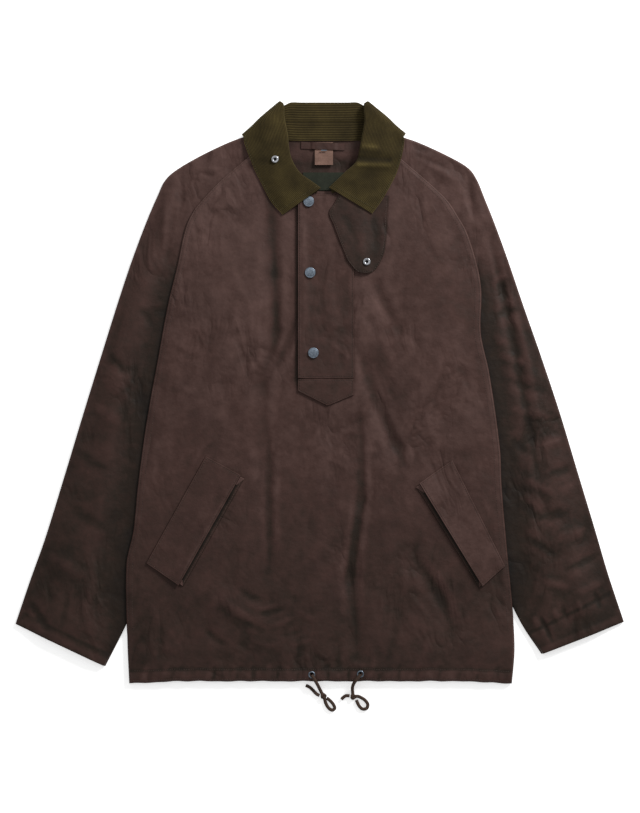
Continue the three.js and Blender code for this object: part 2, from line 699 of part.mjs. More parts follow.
function pocket(side) {
  const across = [0, 0.2, 0.45, 0.7, 0.9, 1];
  const down = Array.from({ length: 10 }, (_, i) => i / 9);
  const rows = down.map((d) => across.map((a) => weltPoint(side, a, d)));
  const ends = (i) => Math.min(i, down.length - 1 - i);
  const gape = (i, j) => weltGape * across[j] ** 2 * (ends(i) === 0 ? 0.75 : 1);
  if (side === 'right') rows.reverse();
  add(`pocket_welt_${side}`, wall(onFront(rows, doubledWall, gape), doubledWall),
    colours.waxedCotton, 0.55);
  const width = Math.hypot(
    pocketWelt[side].innerTop[0] - pocketWelt[side].outerTop[0],
    pocketWelt[side].innerTop[1] - pocketWelt[side].outerTop[1],
  );
  const strip = [-facingUnder, 0, facingShows].map((v) => 1 + v / width);
  const facing = down.map((d) => strip.map((a) => weltPoint(side, a, lerp(0.012, 0.988, d))));
  if (side === 'right') facing.reverse();
  add(`pocket_facing_${side}`, wall(onFront(facing, clothWall, undefined, layerGap), clothWall),
    colours.waxedCotton, 0.6);
}

function turned(profile, segments, place, z) {
  const geometry = new THREE.LatheGeometry(profile.map(([r, h]) => new THREE.Vector2(r, h)), segments);
  geometry.rotateX(Math.PI / 2);
  geometry.translate(place.x, place.y, z);
  return geometry;
}

// The height of the first thing below, over a round place
function heightOn(names, place, radius) {
  const under = names.map((name) => group.getObjectByName(name));
  const ray = new THREE.Raycaster();
  const down = new THREE.Vector3(0, 0, -1);
  const heights = [];
  for (let i = 0; i <= 12; i += 1) {
    const out = i === 12 ? 0 : radius;
    const angle = (i / 12) * Math.PI * 2;
    const from = point(place.x + out * Math.cos(angle), place.y + out * Math.sin(angle), 60);
    ray.set(from, down);
    const hit = ray.intersectObjects(under)[0];
    if (hit) heights.push(hit.point.z);
  }
  return Math.max(...heights);
}

// A domed cap inside a raised ring
function snapCap(name, place) {
  const profile = [
    [0, 0], [snapRadius - 0.7, 0], [snapRadius, 0.6], [snapRadius, 1.5],
    [snapRadius - 0.6, 2], [snapRadius - 1.5, 1.7], [snapRadius - 3.5, 2.3], [0, snapHeight],
  ];
  const z = heightOn(['placket'], place, snapRadius) + layerGap;
  add(name, turned(profile, 16, place, z), colours.gunmetal, 0.35, 0.9);
}

function snapSocket(name, place, on) {
  const profile = [
    [0, 0], [socketRadius - 0.4, 0], [socketRadius, 0.5], [socketRadius - 0.3, 1.3],
    [socketRadius - 1.4, 1.6], [2.2, 1.2], [1.9, 0.5], [0, 0.5],
  ];
  const z = heightOn([on], place, socketRadius) + layerGap;
  add(name, turned(profile, 16, place, z), colours.silver, 0.3, 0.9);
}

function hemEyelet(side) {
  const place = eyelets[side];
  const profile = [
    [eyeletHole, 0], [eyeletRadius, 0], [eyeletRadius, 0.5],
    [eyeletRadius - 0.8, 1.1], [eyeletHole + 0.4, 1.1], [eyeletHole, 0.6], [eyeletHole, 0],
  ];
  const z = heightOn(['front'], place, eyeletRadius) + layerGap;
  add(`hem_eyelet_${side}`, turned(profile, 16, place, z), colours.gunmetal, 0.4, 0.9);
}

// Inside the neck: a hanger loop held by a webbing tab with a metal bar, and a label

function strip(rows, heights, thickness) {
  const points = rows.map((row, i) => row.map(([x, y]) => (
    point(x, y, backTop + neckFloor(x, y) + layerGap + thickness + heights[i]))));
  return wall(points, thickness);
}

function neckInside() {
  const loop = [0, 0.2, 0.32, 0.5, 0.68, 0.8, 1].map((share) => {
    const x = lerp(-26, 34.7, share);
    const y = lerp(344, 341.5, share);
    return [[x, y + 9.5], [x, y]];
  });
  add('hanger_loop', strip(loop, [0, 0, 0, 0, 0, 0, 0], clothWall), colours.waxedCotton, 0.6);
  const tab = [353, 348, 341, 334, 327, 321].map((y) => [[-6.9, y], [5.9, y], [18.6, y]]);
  const tabHeights = [1.9, 1.9, 1.9, 1.2, 1.4, 1.9];
  add('hanger_webbing', strip(tab.reverse(), tabHeights.reverse(), clothWall), colours.webbing, 0.8);
  const bar = new THREE.CapsuleGeometry(1.2, 7.6, 3, 8);
  bar.rotateZ(Math.PI / 2);
  bar.scale(1, 1.3, 0.8);
  const place = { x: 5.9, y: 341 };
  bar.translate(place.x, place.y, heightOn(['hanger_webbing'], place, 5) + layerGap + 0.96);
  add('hanger_bar', bar, colours.gunmetal, 0.4, 0.9);
  const label = [285.6, 293, 302, 310.8].map((y) => [[-23.4, y], [7, y], [38.2, y]]);
  add('neck_label', strip(label, [0, 0, 0, 0], 1), colours.label, 0.8);
}

// Drawcord ends at the hem. Each has a strand from its eyelet to a knot, then a loop and a
// free tail that lie on the surface

const cordRadius = 2.25;
const cordLies = cordRadius + 0.15;
const drawcords = {
  right: {
    strand: [
      [-11.1, -392.5, 15], [-8.6, -396.5, 14.8], [-6.2, -400.5, 14], [-4, -404.8, 11.4],
      [-2, -409, 7.4], [0, -413.4, 4.2], [2.2, -418.1, 3.2],
    ],
    knot: [5.2, -423.2, 4.6],
    loop: [
      [7.4, -429], [8.8, -434.5], [12.6, -440.5], [17.6, -443.4], [21, -440.6],
      [18.6, -434.6], [14, -430], [10.9, -426.9],
    ],
    tail: [[-0.6, -420.8], [-4.6, -417.6], [-9, -413.8], [-13.6, -410.4], [-19, -408]],
  },
  left: {
    strand: [
      [57, -391.5, 15], [53.6, -396, 14.8], [50.4, -400.2, 14], [47.6, -404.8, 11.4],
      [46.2, -409.4, 7.4], [45.8, -414, 4.2], [46.2, -418.6, 3.2],
    ],
    knot: [47, -424.3, 4.6],
    loop: [
      [53, -424], [58.4, -426], [64, -430], [67.4, -435.4], [65.8, -440.8], [60.2, -441.8],
      [55.4, -437.6], [51.3, -429.4],
    ],
    tail: [[41, -423.1], [37.4, -423.2], [33.6, -425], [30.4, -428.1]],
  },
};

function tube(points, steps) {
  const path = new THREE.CatmullRomCurve3(points.map(([x, y, z]) => point(x, y, z ?? cordLies)));
  const section = new THREE.Shape();
  for (let i = 0; i < 8; i += 1) {
    const angle = (i / 8) * Math.PI * 2;
    const [x, y] = [cordRadius * Math.cos(angle), cordRadius * Math.sin(angle)];
    if (i === 0) section.moveTo(x, y);
    else section.lineTo(x, y);
  }
  return new THREE.ExtrudeGeometry(section, { steps, extrudePath: path, curveSegments: 1 });
}

function drawcord(side) {
  const cord = drawcords[side];
  add(`drawcord_${side}_strand`, tube(cord.strand, 8), colours.cord, 0.9);
  const knot = new THREE.SphereGeometry(4.6, 12, 8);
  knot.scale(1.05, 0.95, 0.9);
  knot.translate(...cord.knot);
  add(`drawcord_${side}_knot`, knot, colours.cord, 0.9);
  add(`drawcord_${side}_loop`, tube(cord.loop, 14), colours.cord, 0.9);
  add(`drawcord_${side}_tail`, tube(cord.tail, 5), colours.cord, 0.9);
}

frontPanel();
backPanel();
sleeve('right');
sleeve('left');
collar();
placketBand();
tabAndItsSocket();
pocket('right');
pocket('left');
snapCaps.forEach((place, i) => snapCap(`snap_cap_${i + 1}`, place));
snapSocket('snap_socket_collar', collarSocket, 'collar_fall');
snapSocket('snap_socket_tab', tabSocket, 'throat_tab');
hemEyelet('right');
hemEyelet('left');
neckInside();
drawcord('right');
drawcord('left');

export default group;
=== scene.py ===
# A waxed cotton pullover jacket, laid flat on a pale surface. Object units are metres, and the
# tables are in millimetres, as in the CAD that this dresses.
import math

import bmesh
import bpy
import numpy as np
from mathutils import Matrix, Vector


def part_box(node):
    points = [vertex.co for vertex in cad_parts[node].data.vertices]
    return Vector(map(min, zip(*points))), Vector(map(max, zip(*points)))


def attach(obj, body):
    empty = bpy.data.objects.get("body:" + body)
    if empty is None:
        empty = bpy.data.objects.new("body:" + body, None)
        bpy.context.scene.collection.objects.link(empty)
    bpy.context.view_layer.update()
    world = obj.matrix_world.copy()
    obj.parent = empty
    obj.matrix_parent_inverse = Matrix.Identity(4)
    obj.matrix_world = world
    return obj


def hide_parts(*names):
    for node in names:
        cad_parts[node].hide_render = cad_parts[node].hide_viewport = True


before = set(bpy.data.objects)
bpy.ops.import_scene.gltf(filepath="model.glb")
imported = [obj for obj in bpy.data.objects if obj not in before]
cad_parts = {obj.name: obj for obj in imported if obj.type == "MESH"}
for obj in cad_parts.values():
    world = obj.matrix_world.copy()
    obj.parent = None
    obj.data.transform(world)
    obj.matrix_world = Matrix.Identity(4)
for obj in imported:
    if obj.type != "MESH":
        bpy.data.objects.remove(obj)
mm = 0.001
scene = bpy.context.scene


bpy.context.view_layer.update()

# Camera: straight down, as the photo was taken
view = {"x": 0.4, "y": -17.5, "height": 2695.0, "lens": 85.0}
cameraData = bpy.data.cameras.new("camera")
cameraData.lens = view["lens"]
cameraData.sensor_fit = "VERTICAL"
cameraData.sensor_height = 36.0
cameraData.clip_end = 20.0
camera = bpy.data.objects.new("camera", cameraData)
camera.location = (view["x"] * mm, view["y"] * mm, view["height"] * mm)
scene.collection.objects.link(camera)
scene.camera = camera


# Small functions for heights
def smooth(t):
    k = np.clip(t, 0.0, 1.0)
    return k * k * (3 - 2 * k)


def lerp(a, b, k):
    return a + (b - a) * k


def throughValues(at, value, place):
    # A smooth line through single values, or through whole rows of points
    def widen(numbers):
        return numbers.reshape(numbers.shape + (1,) * (value.ndim - 1))

    last = len(at) - 1
    lower = np.maximum(np.arange(last + 1) - 1, 0)
    upper = np.minimum(np.arange(last + 1) + 1, last)
    slope = (value[upper] - value[lower]) / widen(at[upper] - at[lower])
    i = np.clip(np.searchsorted(at, place) - 1, 0, last - 1)
    span = widen(at[i + 1] - at[i])
    k = widen(place - at[i]) / span
    start = span * slope[i] * k * (1 - k) ** 2
    end = span * slope[i + 1] * k * k * (k - 1)
    return lerp(value[i], value[i + 1], (3 - 2 * k) * k * k) + start + end


def curveOf(at, value):
    at, value = np.array(at, float), np.array(value, float)
    order = np.argsort(at)
    at, value = at[order], value[order]
    return lambda t: throughValues(at, value, np.clip(t, at[0], at[-1]))


def fromLine(x, y, fromX, fromY, toX, toY):
    # How far along the line its nearest point is, from 0 to 1, and how far away
    alongX, alongY = toX - fromX, toY - fromY
    k = np.clip(((x - fromX) * alongX + (y - fromY) * alongY) / (alongX ** 2 + alongY ** 2), 0, 1)
    return k, np.hypot(x - fromX - k * alongX, y - fromY - k * alongY)


def foldRise(x, y, folds):
    total = np.zeros_like(x, dtype=float)
    for *line, rise, width in folds:
        total += rise * np.exp(-(fromLine(x, y, *line)[1] / width) ** 2)
    return total


def creaseRise(x, y, creases):
    # A crease is x and y for each of its points, then its rise and width. It fades at both ends
    total = np.zeros_like(x, dtype=float)
    for crease in creases:
        points = np.array(crease[:-2], float).reshape(-1, 2)
        rise, width = crease[-2:]
        lengths = np.linalg.norm(np.diff(points, axis=0), axis=1)
        run = np.concatenate([[0], np.cumsum(lengths)])
        nearest, place = np.full_like(total, 1e9), np.zeros_like(total)
        for i, (start, end) in enumerate(zip(points[:-1], points[1:])):
            k, d = fromLine(x, y, *start, *end)
            place = np.where(d < nearest, (run[i] + k * lengths[i]) / run[-1], place)
            nearest = np.minimum(d, nearest)
        fade = smooth(place / 0.4) * smooth((1 - place) / 0.4)
        total += rise * fade * np.exp(-(nearest / (width * (0.55 + 0.45 * fade))) ** 2)
    return total


# Shapes shared with the CAD, in mm
bodyEdge = {
    "right": [(-407, -267), (-344, -269.8), (-237, -270.8), (-190, -261), (-127, -254.7),
              (-35, -242), (48, -227), (127, -212.4), (180, -199.5), (229, -189), (249, -181),
              (265, -170.5), (302, -135.2), (354.2, -72.4)],
    "left": [(-407, 269.2), (-357, 273.3), (-303, 270.6), (-218, 262.5), (-128, 254.8),
             (-75, 252.4), (30, 237.4), (85, 225.8), (142, 226.5), (176, 221.6), (224, 207.2),
             (245, 196), (277, 173.5), (354.2, 84.4)],
}
neckline = [(-72.4, 354.2), (-66, 334), (-52, 310), (-32, 293), (-5, 284.5), (8, 283.5),
            (20, 284.5), (42, 294), (62, 312), (77, 334), (84.4, 354.2)]
hemY, shoulderY = -403.0, 354.2
mainFolds = [
    (-64, 240, -61, 85, -2.4, 15), (-61, 85, -79, 10, -1.8, 15), (-79, 10, -75, -120, -1.8, 16),
    (-71, -150, -71, -250, -1.2, 16), (70, 40, 105, -70, -2.4, 15), (105, -70, 128, -115, -1.8, 14),
    (52, -40, 58, -150, -1.8, 15), (58, -150, 42, -258, -2.2, 15), (42, -258, 54, -380, -2.4, 15),
    (129, -225, 184, -326, -2, 15), (84, 150, 110, 95, -1.6, 16), (-137, -288, -92, -316, 1.8, 15),
    (-150, 200, -120, 60, 1.5, 26), (150, 200, 175, 20, 1.5, 26),
]
sleeveFolds = [
    (-193, 300, -193, 220, -1.6, 11), (-212, 280, -214, 175, 2.2, 12), (-238, 190, -290, 20, 1.5, 18),
    (-300, -60, -345, -220, -1.5, 20), (211, 305, 214, 240, -2.4, 11), (236, 230, 254, 150, -2.4, 13),
    (254, 150, 296, -57, -2, 14), (296, -57, 318, -160, -1.8, 15), (350, -200, 365, -300, 1.6, 16),
]
placket = {"right": -30.5, "left": 48.0, "bottom": 22.0, "top": 279.0}
thickness = {"panel": 1.2, "sleeve": 1.15, "corduroy": 1.4, "flap": 2.2, "facing": 1.2, "gusset": 0.6,
             "strip": 1.2, "label": 1.0}
# How light the cloth is, from 0 to 1
tones = {"front": 0.55, "back": 0.42, "sleeve": 0.38, "placket": 0.47, "point": 0.46, "tab": 0.27,
         "right_welt": 0.50, "left_welt": 0.55, "gusset": 0.66, "strip": 0.4, "loop": 0.5,
         "stand": 0.35, "fall": 0.55}
welts = {
    "right": ((-159.2, -86.8), (-110.2, -113.4), (-197, -267.4), (-242.5, -236.6)),
    "left": ((185.2, -92.4), (139, -124.6), (227.2, -268.8), (259.4, -240.8)),
}
eyeletPlaces = {"right": (-11.1, -392.5), "left": (57, -391.5)}

edgeOf = {side: curveOf(*zip(*rows)) for side, rows in bodyEdge.items()}
necklineY = curveOf(*zip(*neckline))


def outsideBody(x, y):
    return np.where(x < 6, edgeOf["right"](y) - x, x - edgeOf["left"](y))


def neckFloor(x, y):
    return 1.8 * smooth((y - 318) / 20) * smooth((136 - np.abs(x - 6)) / 20)


def nearBox(x, y, box, margin):
    lowX, highX, lowY, highY = box
    dx = np.maximum(np.maximum(lowX - x, x - highX), 0)
    dy = np.maximum(np.maximum(lowY - y, y - highY), 0)
    return 1 - smooth(np.hypot(dx, dy) / margin)


def weltPoint(side, across, down):
    outerTop, innerTop, innerBottom, outerBottom = welts[side]
    x = lerp(lerp(outerTop[0], innerTop[0], across), lerp(outerBottom[0], innerBottom[0], across), down)
    y = lerp(lerp(outerTop[1], innerTop[1], across), lerp(outerBottom[1], innerBottom[1], across), down)
    return x, y


def nearWelt(x, y, side, margin, half=36):
    d = fromLine(x, y, *weltPoint(side, 0.5, 0), *weltPoint(side, 0.5, 1))[1]
    return 1 - smooth((d - half) / margin)


placketBox = (-30.5, 48, -17, 280)
tabBox = (20, 100, 172, 283)


def frontTop(x, y):
    inside = np.maximum(-outsideBody(x, y), 0)
    middle = 10.7 - 1.7 * smooth((y - 190) / 70)
    covered = [nearBox(x, y, placketBox, 14), nearBox(x, y, tabBox, 14), nearWelt(x, y, "right", 20),
               nearWelt(x, y, "left", 20), smooth((y - 235) / 40), smooth((-366 - y) / 16)]
    calm = 1 - np.maximum.reduce(covered)
    folds = foldRise(x, y, mainFolds) * calm * smooth(inside / 30)
    return lerp(9.0, middle, smooth(inside / 45)) + folds + neckFloor(x, y)


def sleeveBottom(x, y):
    return 1.5 * (1 - smooth((outsideBody(x, y) - 16) / 16)) + neckFloor(x, y)


def sleeveTop(x, y, fromFold):
    outside = outsideBody(x, y)
    free = smooth((outside - 14) / 40) * smooth(fromFold / 50)
    folds = foldRise(x, y, sleeveFolds) * smooth((outside - 16) / 22) * smooth(fromFold / 22)
    return 5.2 + 5.5 * free + folds + neckFloor(x, y)


def tabRise(x, y):
    return 2.5 * nearBox(x, y, (-30.5, 58, -17, 280), 22)


def underCollar(x, y):
    outside = outsideBody(x, y)
    rim = lerp(9 + neckFloor(x, y), 5.2, smooth((outside - 8) / 12))
    onSleeve = np.maximum(sleeveTop(x, y, 50.0), rim)
    onPlacket = nearBox(x, y, placketBox, 10) * 2.8
    onTab = nearBox(x, y, tabBox, 12) * (2.8 + tabRise(x, y))
    return np.where(outside > 0, onSleeve, frontTop(x, y)) + np.maximum(onPlacket, onTab)


# Meshes
def finishMesh(name, positions, faces, attributes=None, sharp=40):
    mesh = bpy.data.meshes.new(name)
    mesh.from_pydata((np.asarray(positions) * mm).tolist(), [], faces)
    for key, values in (attributes or {}).items():
        layer = mesh.attributes.new(key, "FLOAT", "POINT")
        layer.data.foreach_set("value", np.asarray(values, dtype=np.float32))
    bm = bmesh.new()
    bm.from_mesh(mesh)
    bmesh.ops.remove_doubles(bm, verts=bm.verts, dist=1e-6)
    bmesh.ops.recalc_face_normals(bm, faces=bm.faces)
    bm.to_mesh(mesh)
    bm.free()
    mesh.polygons.foreach_set("use_smooth", [True] * len(mesh.polygons))
    mesh.set_sharp_from_angle(angle=math.radians(sharp))
    obj = bpy.data.objects.new(name, mesh)
    scene.collection.objects.link(obj)
    return obj


def gridNormals(grid, wrap=False):
    across = np.roll(grid, -1, 1) - np.roll(grid, 1, 1) if wrap else np.gradient(grid, axis=1)
    normal = np.cross(across, np.gradient(grid, axis=0))
    return normal / np.maximum(np.linalg.norm(normal, axis=2, keepdims=True), 1e-9)


def ridgeOf(grid, reach=3, scale=0.7):
    z = grid[:, :, 2]
    soft = z.copy()
    for _ in range(reach):
        padded = np.pad(soft, 1, mode="edge")
        soft = (padded[:-2, 1:-1] + padded[2:, 1:-1] + padded[1:-1, :-2] + padded[1:-1, 2:]) / 4
    return np.clip(0.5 + (z - soft) / scale, 0, 1)


def wallMesh(name, outer, inner, attributes=None, wrap=False, keep=None, sharp=40):
    rows, columns = outer.shape[:2]
    i, j = np.meshgrid(np.arange(rows - 1), np.arange(columns if wrap else columns - 1), indexing="ij")
    nextJ = (j + 1) % columns
    cells = np.stack([i * columns + j, i * columns + nextJ,
                      (i + 1) * columns + nextJ, (i + 1) * columns + j], axis=2)
    cells = cells.reshape(-1, 4) if keep is None else cells[keep]
    shift = rows * columns
    starts, ends = cells.reshape(-1), np.roll(cells, -1, axis=1).reshape(-1)
    free = ~np.isin(starts * shift + ends, ends * shift + starts)
    p, q = starts[free], ends[free]
    rims = np.stack([q, p, p + shift, q + shift], axis=1)
    faces = np.concatenate([cells, cells[:, ::-1] + shift, rims])
    used, compact = np.unique(faces, return_inverse=True)
    positions = np.concatenate([outer.reshape(-1, 3), inner.reshape(-1, 3)])[used]
    doubled = {key: np.tile(np.asarray(v).reshape(-1), 2)[used] for key, v in (attributes or {}).items()}
    return finishMesh(name, positions, compact.reshape(-1, 4).tolist(), doubled, sharp)


def cloth(name, grid, thick, attributes=None, wrap=False, keep=None):
    inner = grid - gridNormals(grid, wrap) * thick
    return wallMesh(name, grid, inner, attributes, wrap, keep)


# Front: creases beside the main folds, as (fromX, fromY, toX, toY, rise, width)
frontSizes = {"rows": 216, "columns": 150, "casing": 18.0, "casingPuff": 0.7, "seamDip": 0.5}
frontCreases = [
    (-52, 238, -49, 160, -50, 90, -68, 12, -64, -118, 1.5, 8), (-64, 236, -61, 85, -78, 14, -1.1, 6),
    (-26, 120, -44, 74, -78, 8, -1.9, 6.5), (-16, 106, -36, 62, -66, 0, 0.9, 6),
    (-70, -40, -72, -140, -70, -262, -1.9, 6), (-58, -60, -60, -160, -58, -250, 1.0, 7),
    (49, 76, 75, -7, 105, -70, 136, -128, -2.0, 7.5), (62, 74, 90, -6, 120, -66, 142, -110, 1.2, 7),
    (50, 20, 59, -63, 58, -148, 42, -258, 51, -329, 54, -392, -2.2, 6.5),
    (66, -40, 69, -140, 56, -240, 62, -340, 1.3, 7), (46, -60, 45, -160, 30, -262, 40, -380, 0.9, 7),
    (124, -216, 166, -281, 190, -336, -2.3, 7), (136, -212, 180, -278, 200, -326, 1.3, 7),
    (74, 168, 90, 128, 108, 92, -1.5, 8), (88, 170, 104, 130, 120, 96, 0.8, 8),
    (-118, -268, -96, -284, -74, -288, -1.2, 5), (-104, -292, -80, -300, -56, -296, 1.0, 5),
    (-94, -308, -70, -306, -44, -298, -1.3, 5), (-78, -326, -52, -320, -30, -308, 1.0, 5),
    (-110, -318, -90, -326, -70, -336, -1.1, 5), (-62, -338, -40, -336, -20, -328, -1.0, 5),
    (-50, -352, -30, -350, -10, -342, 0.8, 5), (-100, -340, -80, -350, -56, -354, 0.9, 5),
    (-128, -290, -108, -306, -88, -320, 0.9, 5), (-36, -300, -18, -312, 2, -318, 0.7, 6),
    (-142, -284, -116, -306, -88, -320, 1.4, 6), (-168, -322, -146, -342, -124, -356, -1.5, 5.5),
    (-164, 268, -142, 252, -126, 236, -0.7, 5), (-180, 238, -160, 224, -146, 206, -0.6, 5),
    (112, 160, 122, 90, 118, 20, 0.9, 14), (150, 70, 166, 0, 176, -70, -1.0, 12),
    (-106, 50, -122, -20, -124, -96, -1.0, 12), (-148, -30, -164, -90, -170, -160, 0.9, 14),
    (-96, -170, -108, -220, -108, -270, 0.9, 10), (-2, -30, 8, -100, 2, -180, 0.8, 16),
    (24, -50, 20, -120, 8, -210, -0.9, 10), (4, -190, -6, -250, -8, -320, 0.8, 14),
    (88, -150, 100, -210, 98, -270, 0.9, 12), (112, -290, 106, -330, 92, -388, -1.1, 8),
    (196, -318, 210, -350, 214, -390, 0.9, 10), (-206, -290, -220, -330, -226, -386, -0.9, 10),
    (-16, -290, -28, -330, -28, -388, -0.9, 8), (-204, 70, -186, 54, -164, 46, -0.6, 6),
    (-210, 24, -190, 8, -168, 0, 0.6, 6), (182, 50, 202, 26, 214, 0, -0.8, 6),
    (172, -4, 196, -20, 218, -44, 0.7, 6), (134, 226, 154, 204, 170, 178, -0.8, 6),
    (112, 136, 136, 128, 160, 118, 0.6, 7), (-124, 180, -108, 146, -90, 112, 0.8, 7),
    (-92, 70, -102, 36, -104, -6, -0.8, 6), (-228, -80, -218, -110, -200, -140, -0.7, 7),
    (-238, -296, -222, -320, -196, -344, 0.8, 8), (222, -130, 236, -170, 240, -210, 0.7, 8),
    (156, -334, 144, -366, 128, -396, 0.7, 7), (-140, 120, -150, 60, -164, 0, -0.8, 12),
    (-180, 160, -184, 90, -200, 20, 0.7, 10), (140, -180, 120, -230, 118, -290, 0.7, 9),
    (30, -340, 26, -370, 28, -396, -0.8, 5), (74, -350, 76, -374, 72, -398, 0.8, 5),
    (-56, -250, -44, -280, -22, -296, -0.8, 6), (204, 120, 190, 70, 194, 20, 0.7, 9),
    (60, 150, 70, 132, 84, 120, -0.6, 5), (52, 110, 66, 96, 78, 74, 0.6, 5),
]
hemPuckers = [
    (-250, 0.5, 3.5), (-238, -0.6, 3), (-221, 0.6, 4), (-209, -0.5, 3), (-190, 0.7, 4), (-177, -0.6, 3),
    (-160, 0.5, 4), (-150, -0.7, 3), (-133, 0.7, 4), (-118, -0.6, 3.5), (-104, 0.6, 3), (-92, -0.7, 3),
    (-73, 0.8, 4), (-62, -0.7, 3), (-44, 0.6, 4), (-30, -0.6, 3), (-2, 0.7, 4), (12, -0.7, 3),
    (25, 0.6, 3), (41, -0.8, 3), (66, 0.7, 3), (80, -0.6, 3), (91, 0.7, 3.5), (108, -0.7, 3),
    (121, 0.5, 3), (133, -0.6, 4), (150, 0.7, 4), (163, -0.5, 3), (181, 0.6, 4), (192, -0.6, 3),
    (207, 0.5, 3), (221, -0.6, 3), (236, 0.6, 4), (249, -0.4, 3),
]
# Painted shade: how much darker the cloth is painted in the deepest hollows, where shade falls
frontPaintedShade = [
    (-70, 292, -63, 170, -0.24, 8), (-63, 170, -60, 60, -0.14, 9), (84, 60, 112, -20, -0.10, 9),
    (-216, 150, -226, 20, -0.08, 14), (206, 150, 226, 20, -0.06, 14), (52, -60, 48, -250, -0.06, 9),
]


def hemLine(x):
    waves = 0.45 * np.sin(x / 9.3 + 0.6) * np.sin(x / 31.0) + 0.3 * np.sin(x / 4.7)
    return hemY - 3 * smooth((np.abs(x) - 200) / 60) + waves


def frontShow(x, y):
    covered = [nearBox(x, y, placketBox, 7), nearBox(x, y, tabBox, 6), nearWelt(x, y, "right", 8, 32),
               nearWelt(x, y, "left", 8, 32), smooth((y - 262) / 30)]
    calm = 1 - np.maximum.reduce(covered)
    inside = np.maximum(-outsideBody(x, y), 0)
    z = frontTop(x, y) + 0.72 * creaseRise(x, y, frontCreases) * calm * smooth((inside - 3) / 12)
    up = y - hemLine(x)
    lines = [(x0, -408, x0 + 3 + 4 * math.sin(x0 * 0.9), -388 + 7 * math.sin(x0 * 1.7), rise, width)
             for x0, rise, width in hemPuckers]
    z = z + foldRise(x, y, lines) * smooth((36 - up) / 14) * smooth(inside / 12)
    z = z + frontSizes["casingPuff"] * np.clip(1 - ((up - 9) / 9) ** 2, 0, 1) * smooth((20 - up) / 4)
    z = z - 0.28 * np.exp(-((up - frontSizes["casing"]) / 1.6) ** 2)
    return z - frontSizes["seamDip"] * np.exp(-((inside - 3.0) / 1.0) ** 2) * smooth((y + 340) / 20)


def turnedShare(inwards):
    k = 1 - np.minimum(inwards / 4.0, 1)
    return np.sqrt(1 - k * k)


def makeFront():
    near = np.array([0, 0.5, 1.2, 2.1, 2.8, 3.4, 4.0])
    count = frontSizes["columns"]
    share = np.concatenate([np.zeros(6), np.arange(count + 1) / count, np.ones(6)])[None, :]
    inwards = np.concatenate([near[:-1], np.full(count + 1, 4.0), near[:-1][::-1]])[None, :]
    v = np.concatenate([np.zeros(4), np.linspace(0, 1, frontSizes["rows"])])[:, None]
    up = np.concatenate([[0, 0.6, 1.4, 2.6], np.full(frontSizes["rows"], 4.0)])[:, None]
    sideY = lerp(hemY + up, shoulderY, v)
    x = lerp(edgeOf["right"](sideY) + inwards, edgeOf["left"](sideY) - inwards, share)
    topX = lerp(neckline[0][0], neckline[-1][0], share)
    y = sideY - (shoulderY - necklineY(topX)) * v * v + (hemLine(x) - hemY) * (1 - v) ** 4
    overSleeve = smooth((y + np.where(x < 0, 345, 325)) / 20)
    low = lerp(2.3, 6.3, overSleeve) + neckFloor(x, y)
    kept = turnedShare(inwards) * np.where(v == 0, turnedShare(up), 1.0)
    z = lerp(low, frontShow(x, y), kept)
    grid = np.stack([x, y, z], axis=2)
    centre = (grid[:-1, :-1] + grid[1:, 1:]) / 2
    cx, cy = centre[:, :, 0], centre[:, :, 1]
    keep = ~((np.abs(cx + 6) < 1.6) & (cy > 27))
    for px, py in eyeletPlaces.values():
        keep &= np.hypot(cx - px, cy - py) > 2.6
    for side in welts:
        topX, topY = weltPoint(side, 0.82, 0.06)
        lowX, lowY = weltPoint(side, 0.82, 0.94)
        length = math.hypot(lowX - topX, lowY - topY)
        along = ((cx - topX) * (lowX - topX) + (cy - topY) * (lowY - topY)) / length
        off = ((cx - topX) * (lowY - topY) - (cy - topY) * (lowX - topX)) / length
        keep &= ~((np.abs(off) < 1.7) & (along > 0) & (along < length))
    # Painted light: lighter towards the collar and darker towards the hem, as the light falls off, and
    # painted darker at the upper right against the key light; then painted shade in the hollows
    tone = tones["front"] + 0.09 * smooth((y - 20) / 240) - 0.17 * smooth((0 - y) / 380)
    tone = tone - 0.08 * smooth((x - 40) / 120) * smooth((y - 40) / 120) + foldRise(x, y, frontPaintedShade)
    # Painted shadow: darker just outside the placket's raised free edge
    placketEdgeShadow = smooth((placket["right"] + 3 - x) / 3) * smooth((placket["top"] - y) / 20) * smooth((y - 4) / 16)
    tone = tone - 0.46 * placketEdgeShadow * np.exp(-np.maximum(placket["right"] - x, 0) / 2.8)
    return cloth("front_panel", grid, thickness["panel"], {"tone": tone, "ridge": ridgeOf(grid)}, keep=keep)


# Back: flat on the surface, with shallow ripples that rise from it
backRipples = [
    (-180, 120, -120, -60, 0.5, 10), (90, 160, 150, 20, 0.6, 9), (-60, -120, -90, -300, 0.5, 9),
    (60, -90, 40, -240, 0.6, 8), (170, -180, 190, -320, 0.5, 8), (-200, -220, -150, -330, 0.4, 9),
    (10, 200, -20, 60, 0.5, 10), (120, -300, 150, -370, 0.4, 7),
]


def makeBack():
    y = np.concatenate([np.linspace(-401, -386, 8), np.linspace(-380, 357, 110)])[:, None]
    share = np.linspace(0, 1, 84)[None, :]
    x = lerp(edgeOf["right"](y) + 3, edgeOf["left"](y) - 3, share)
    y = y + x * 0
    low = neckFloor(x, y) + foldRise(x, y, backRipples) * smooth((300 - y) / 30)
    grid = np.stack([x, y, low + thickness["panel"]], axis=2)
    under = np.stack([x, y, low], axis=2)
    tone = np.full_like(x, tones["back"])
    return wallMesh("back_panel", grid, under, {"tone": tone, "ridge": ridgeOf(grid)})


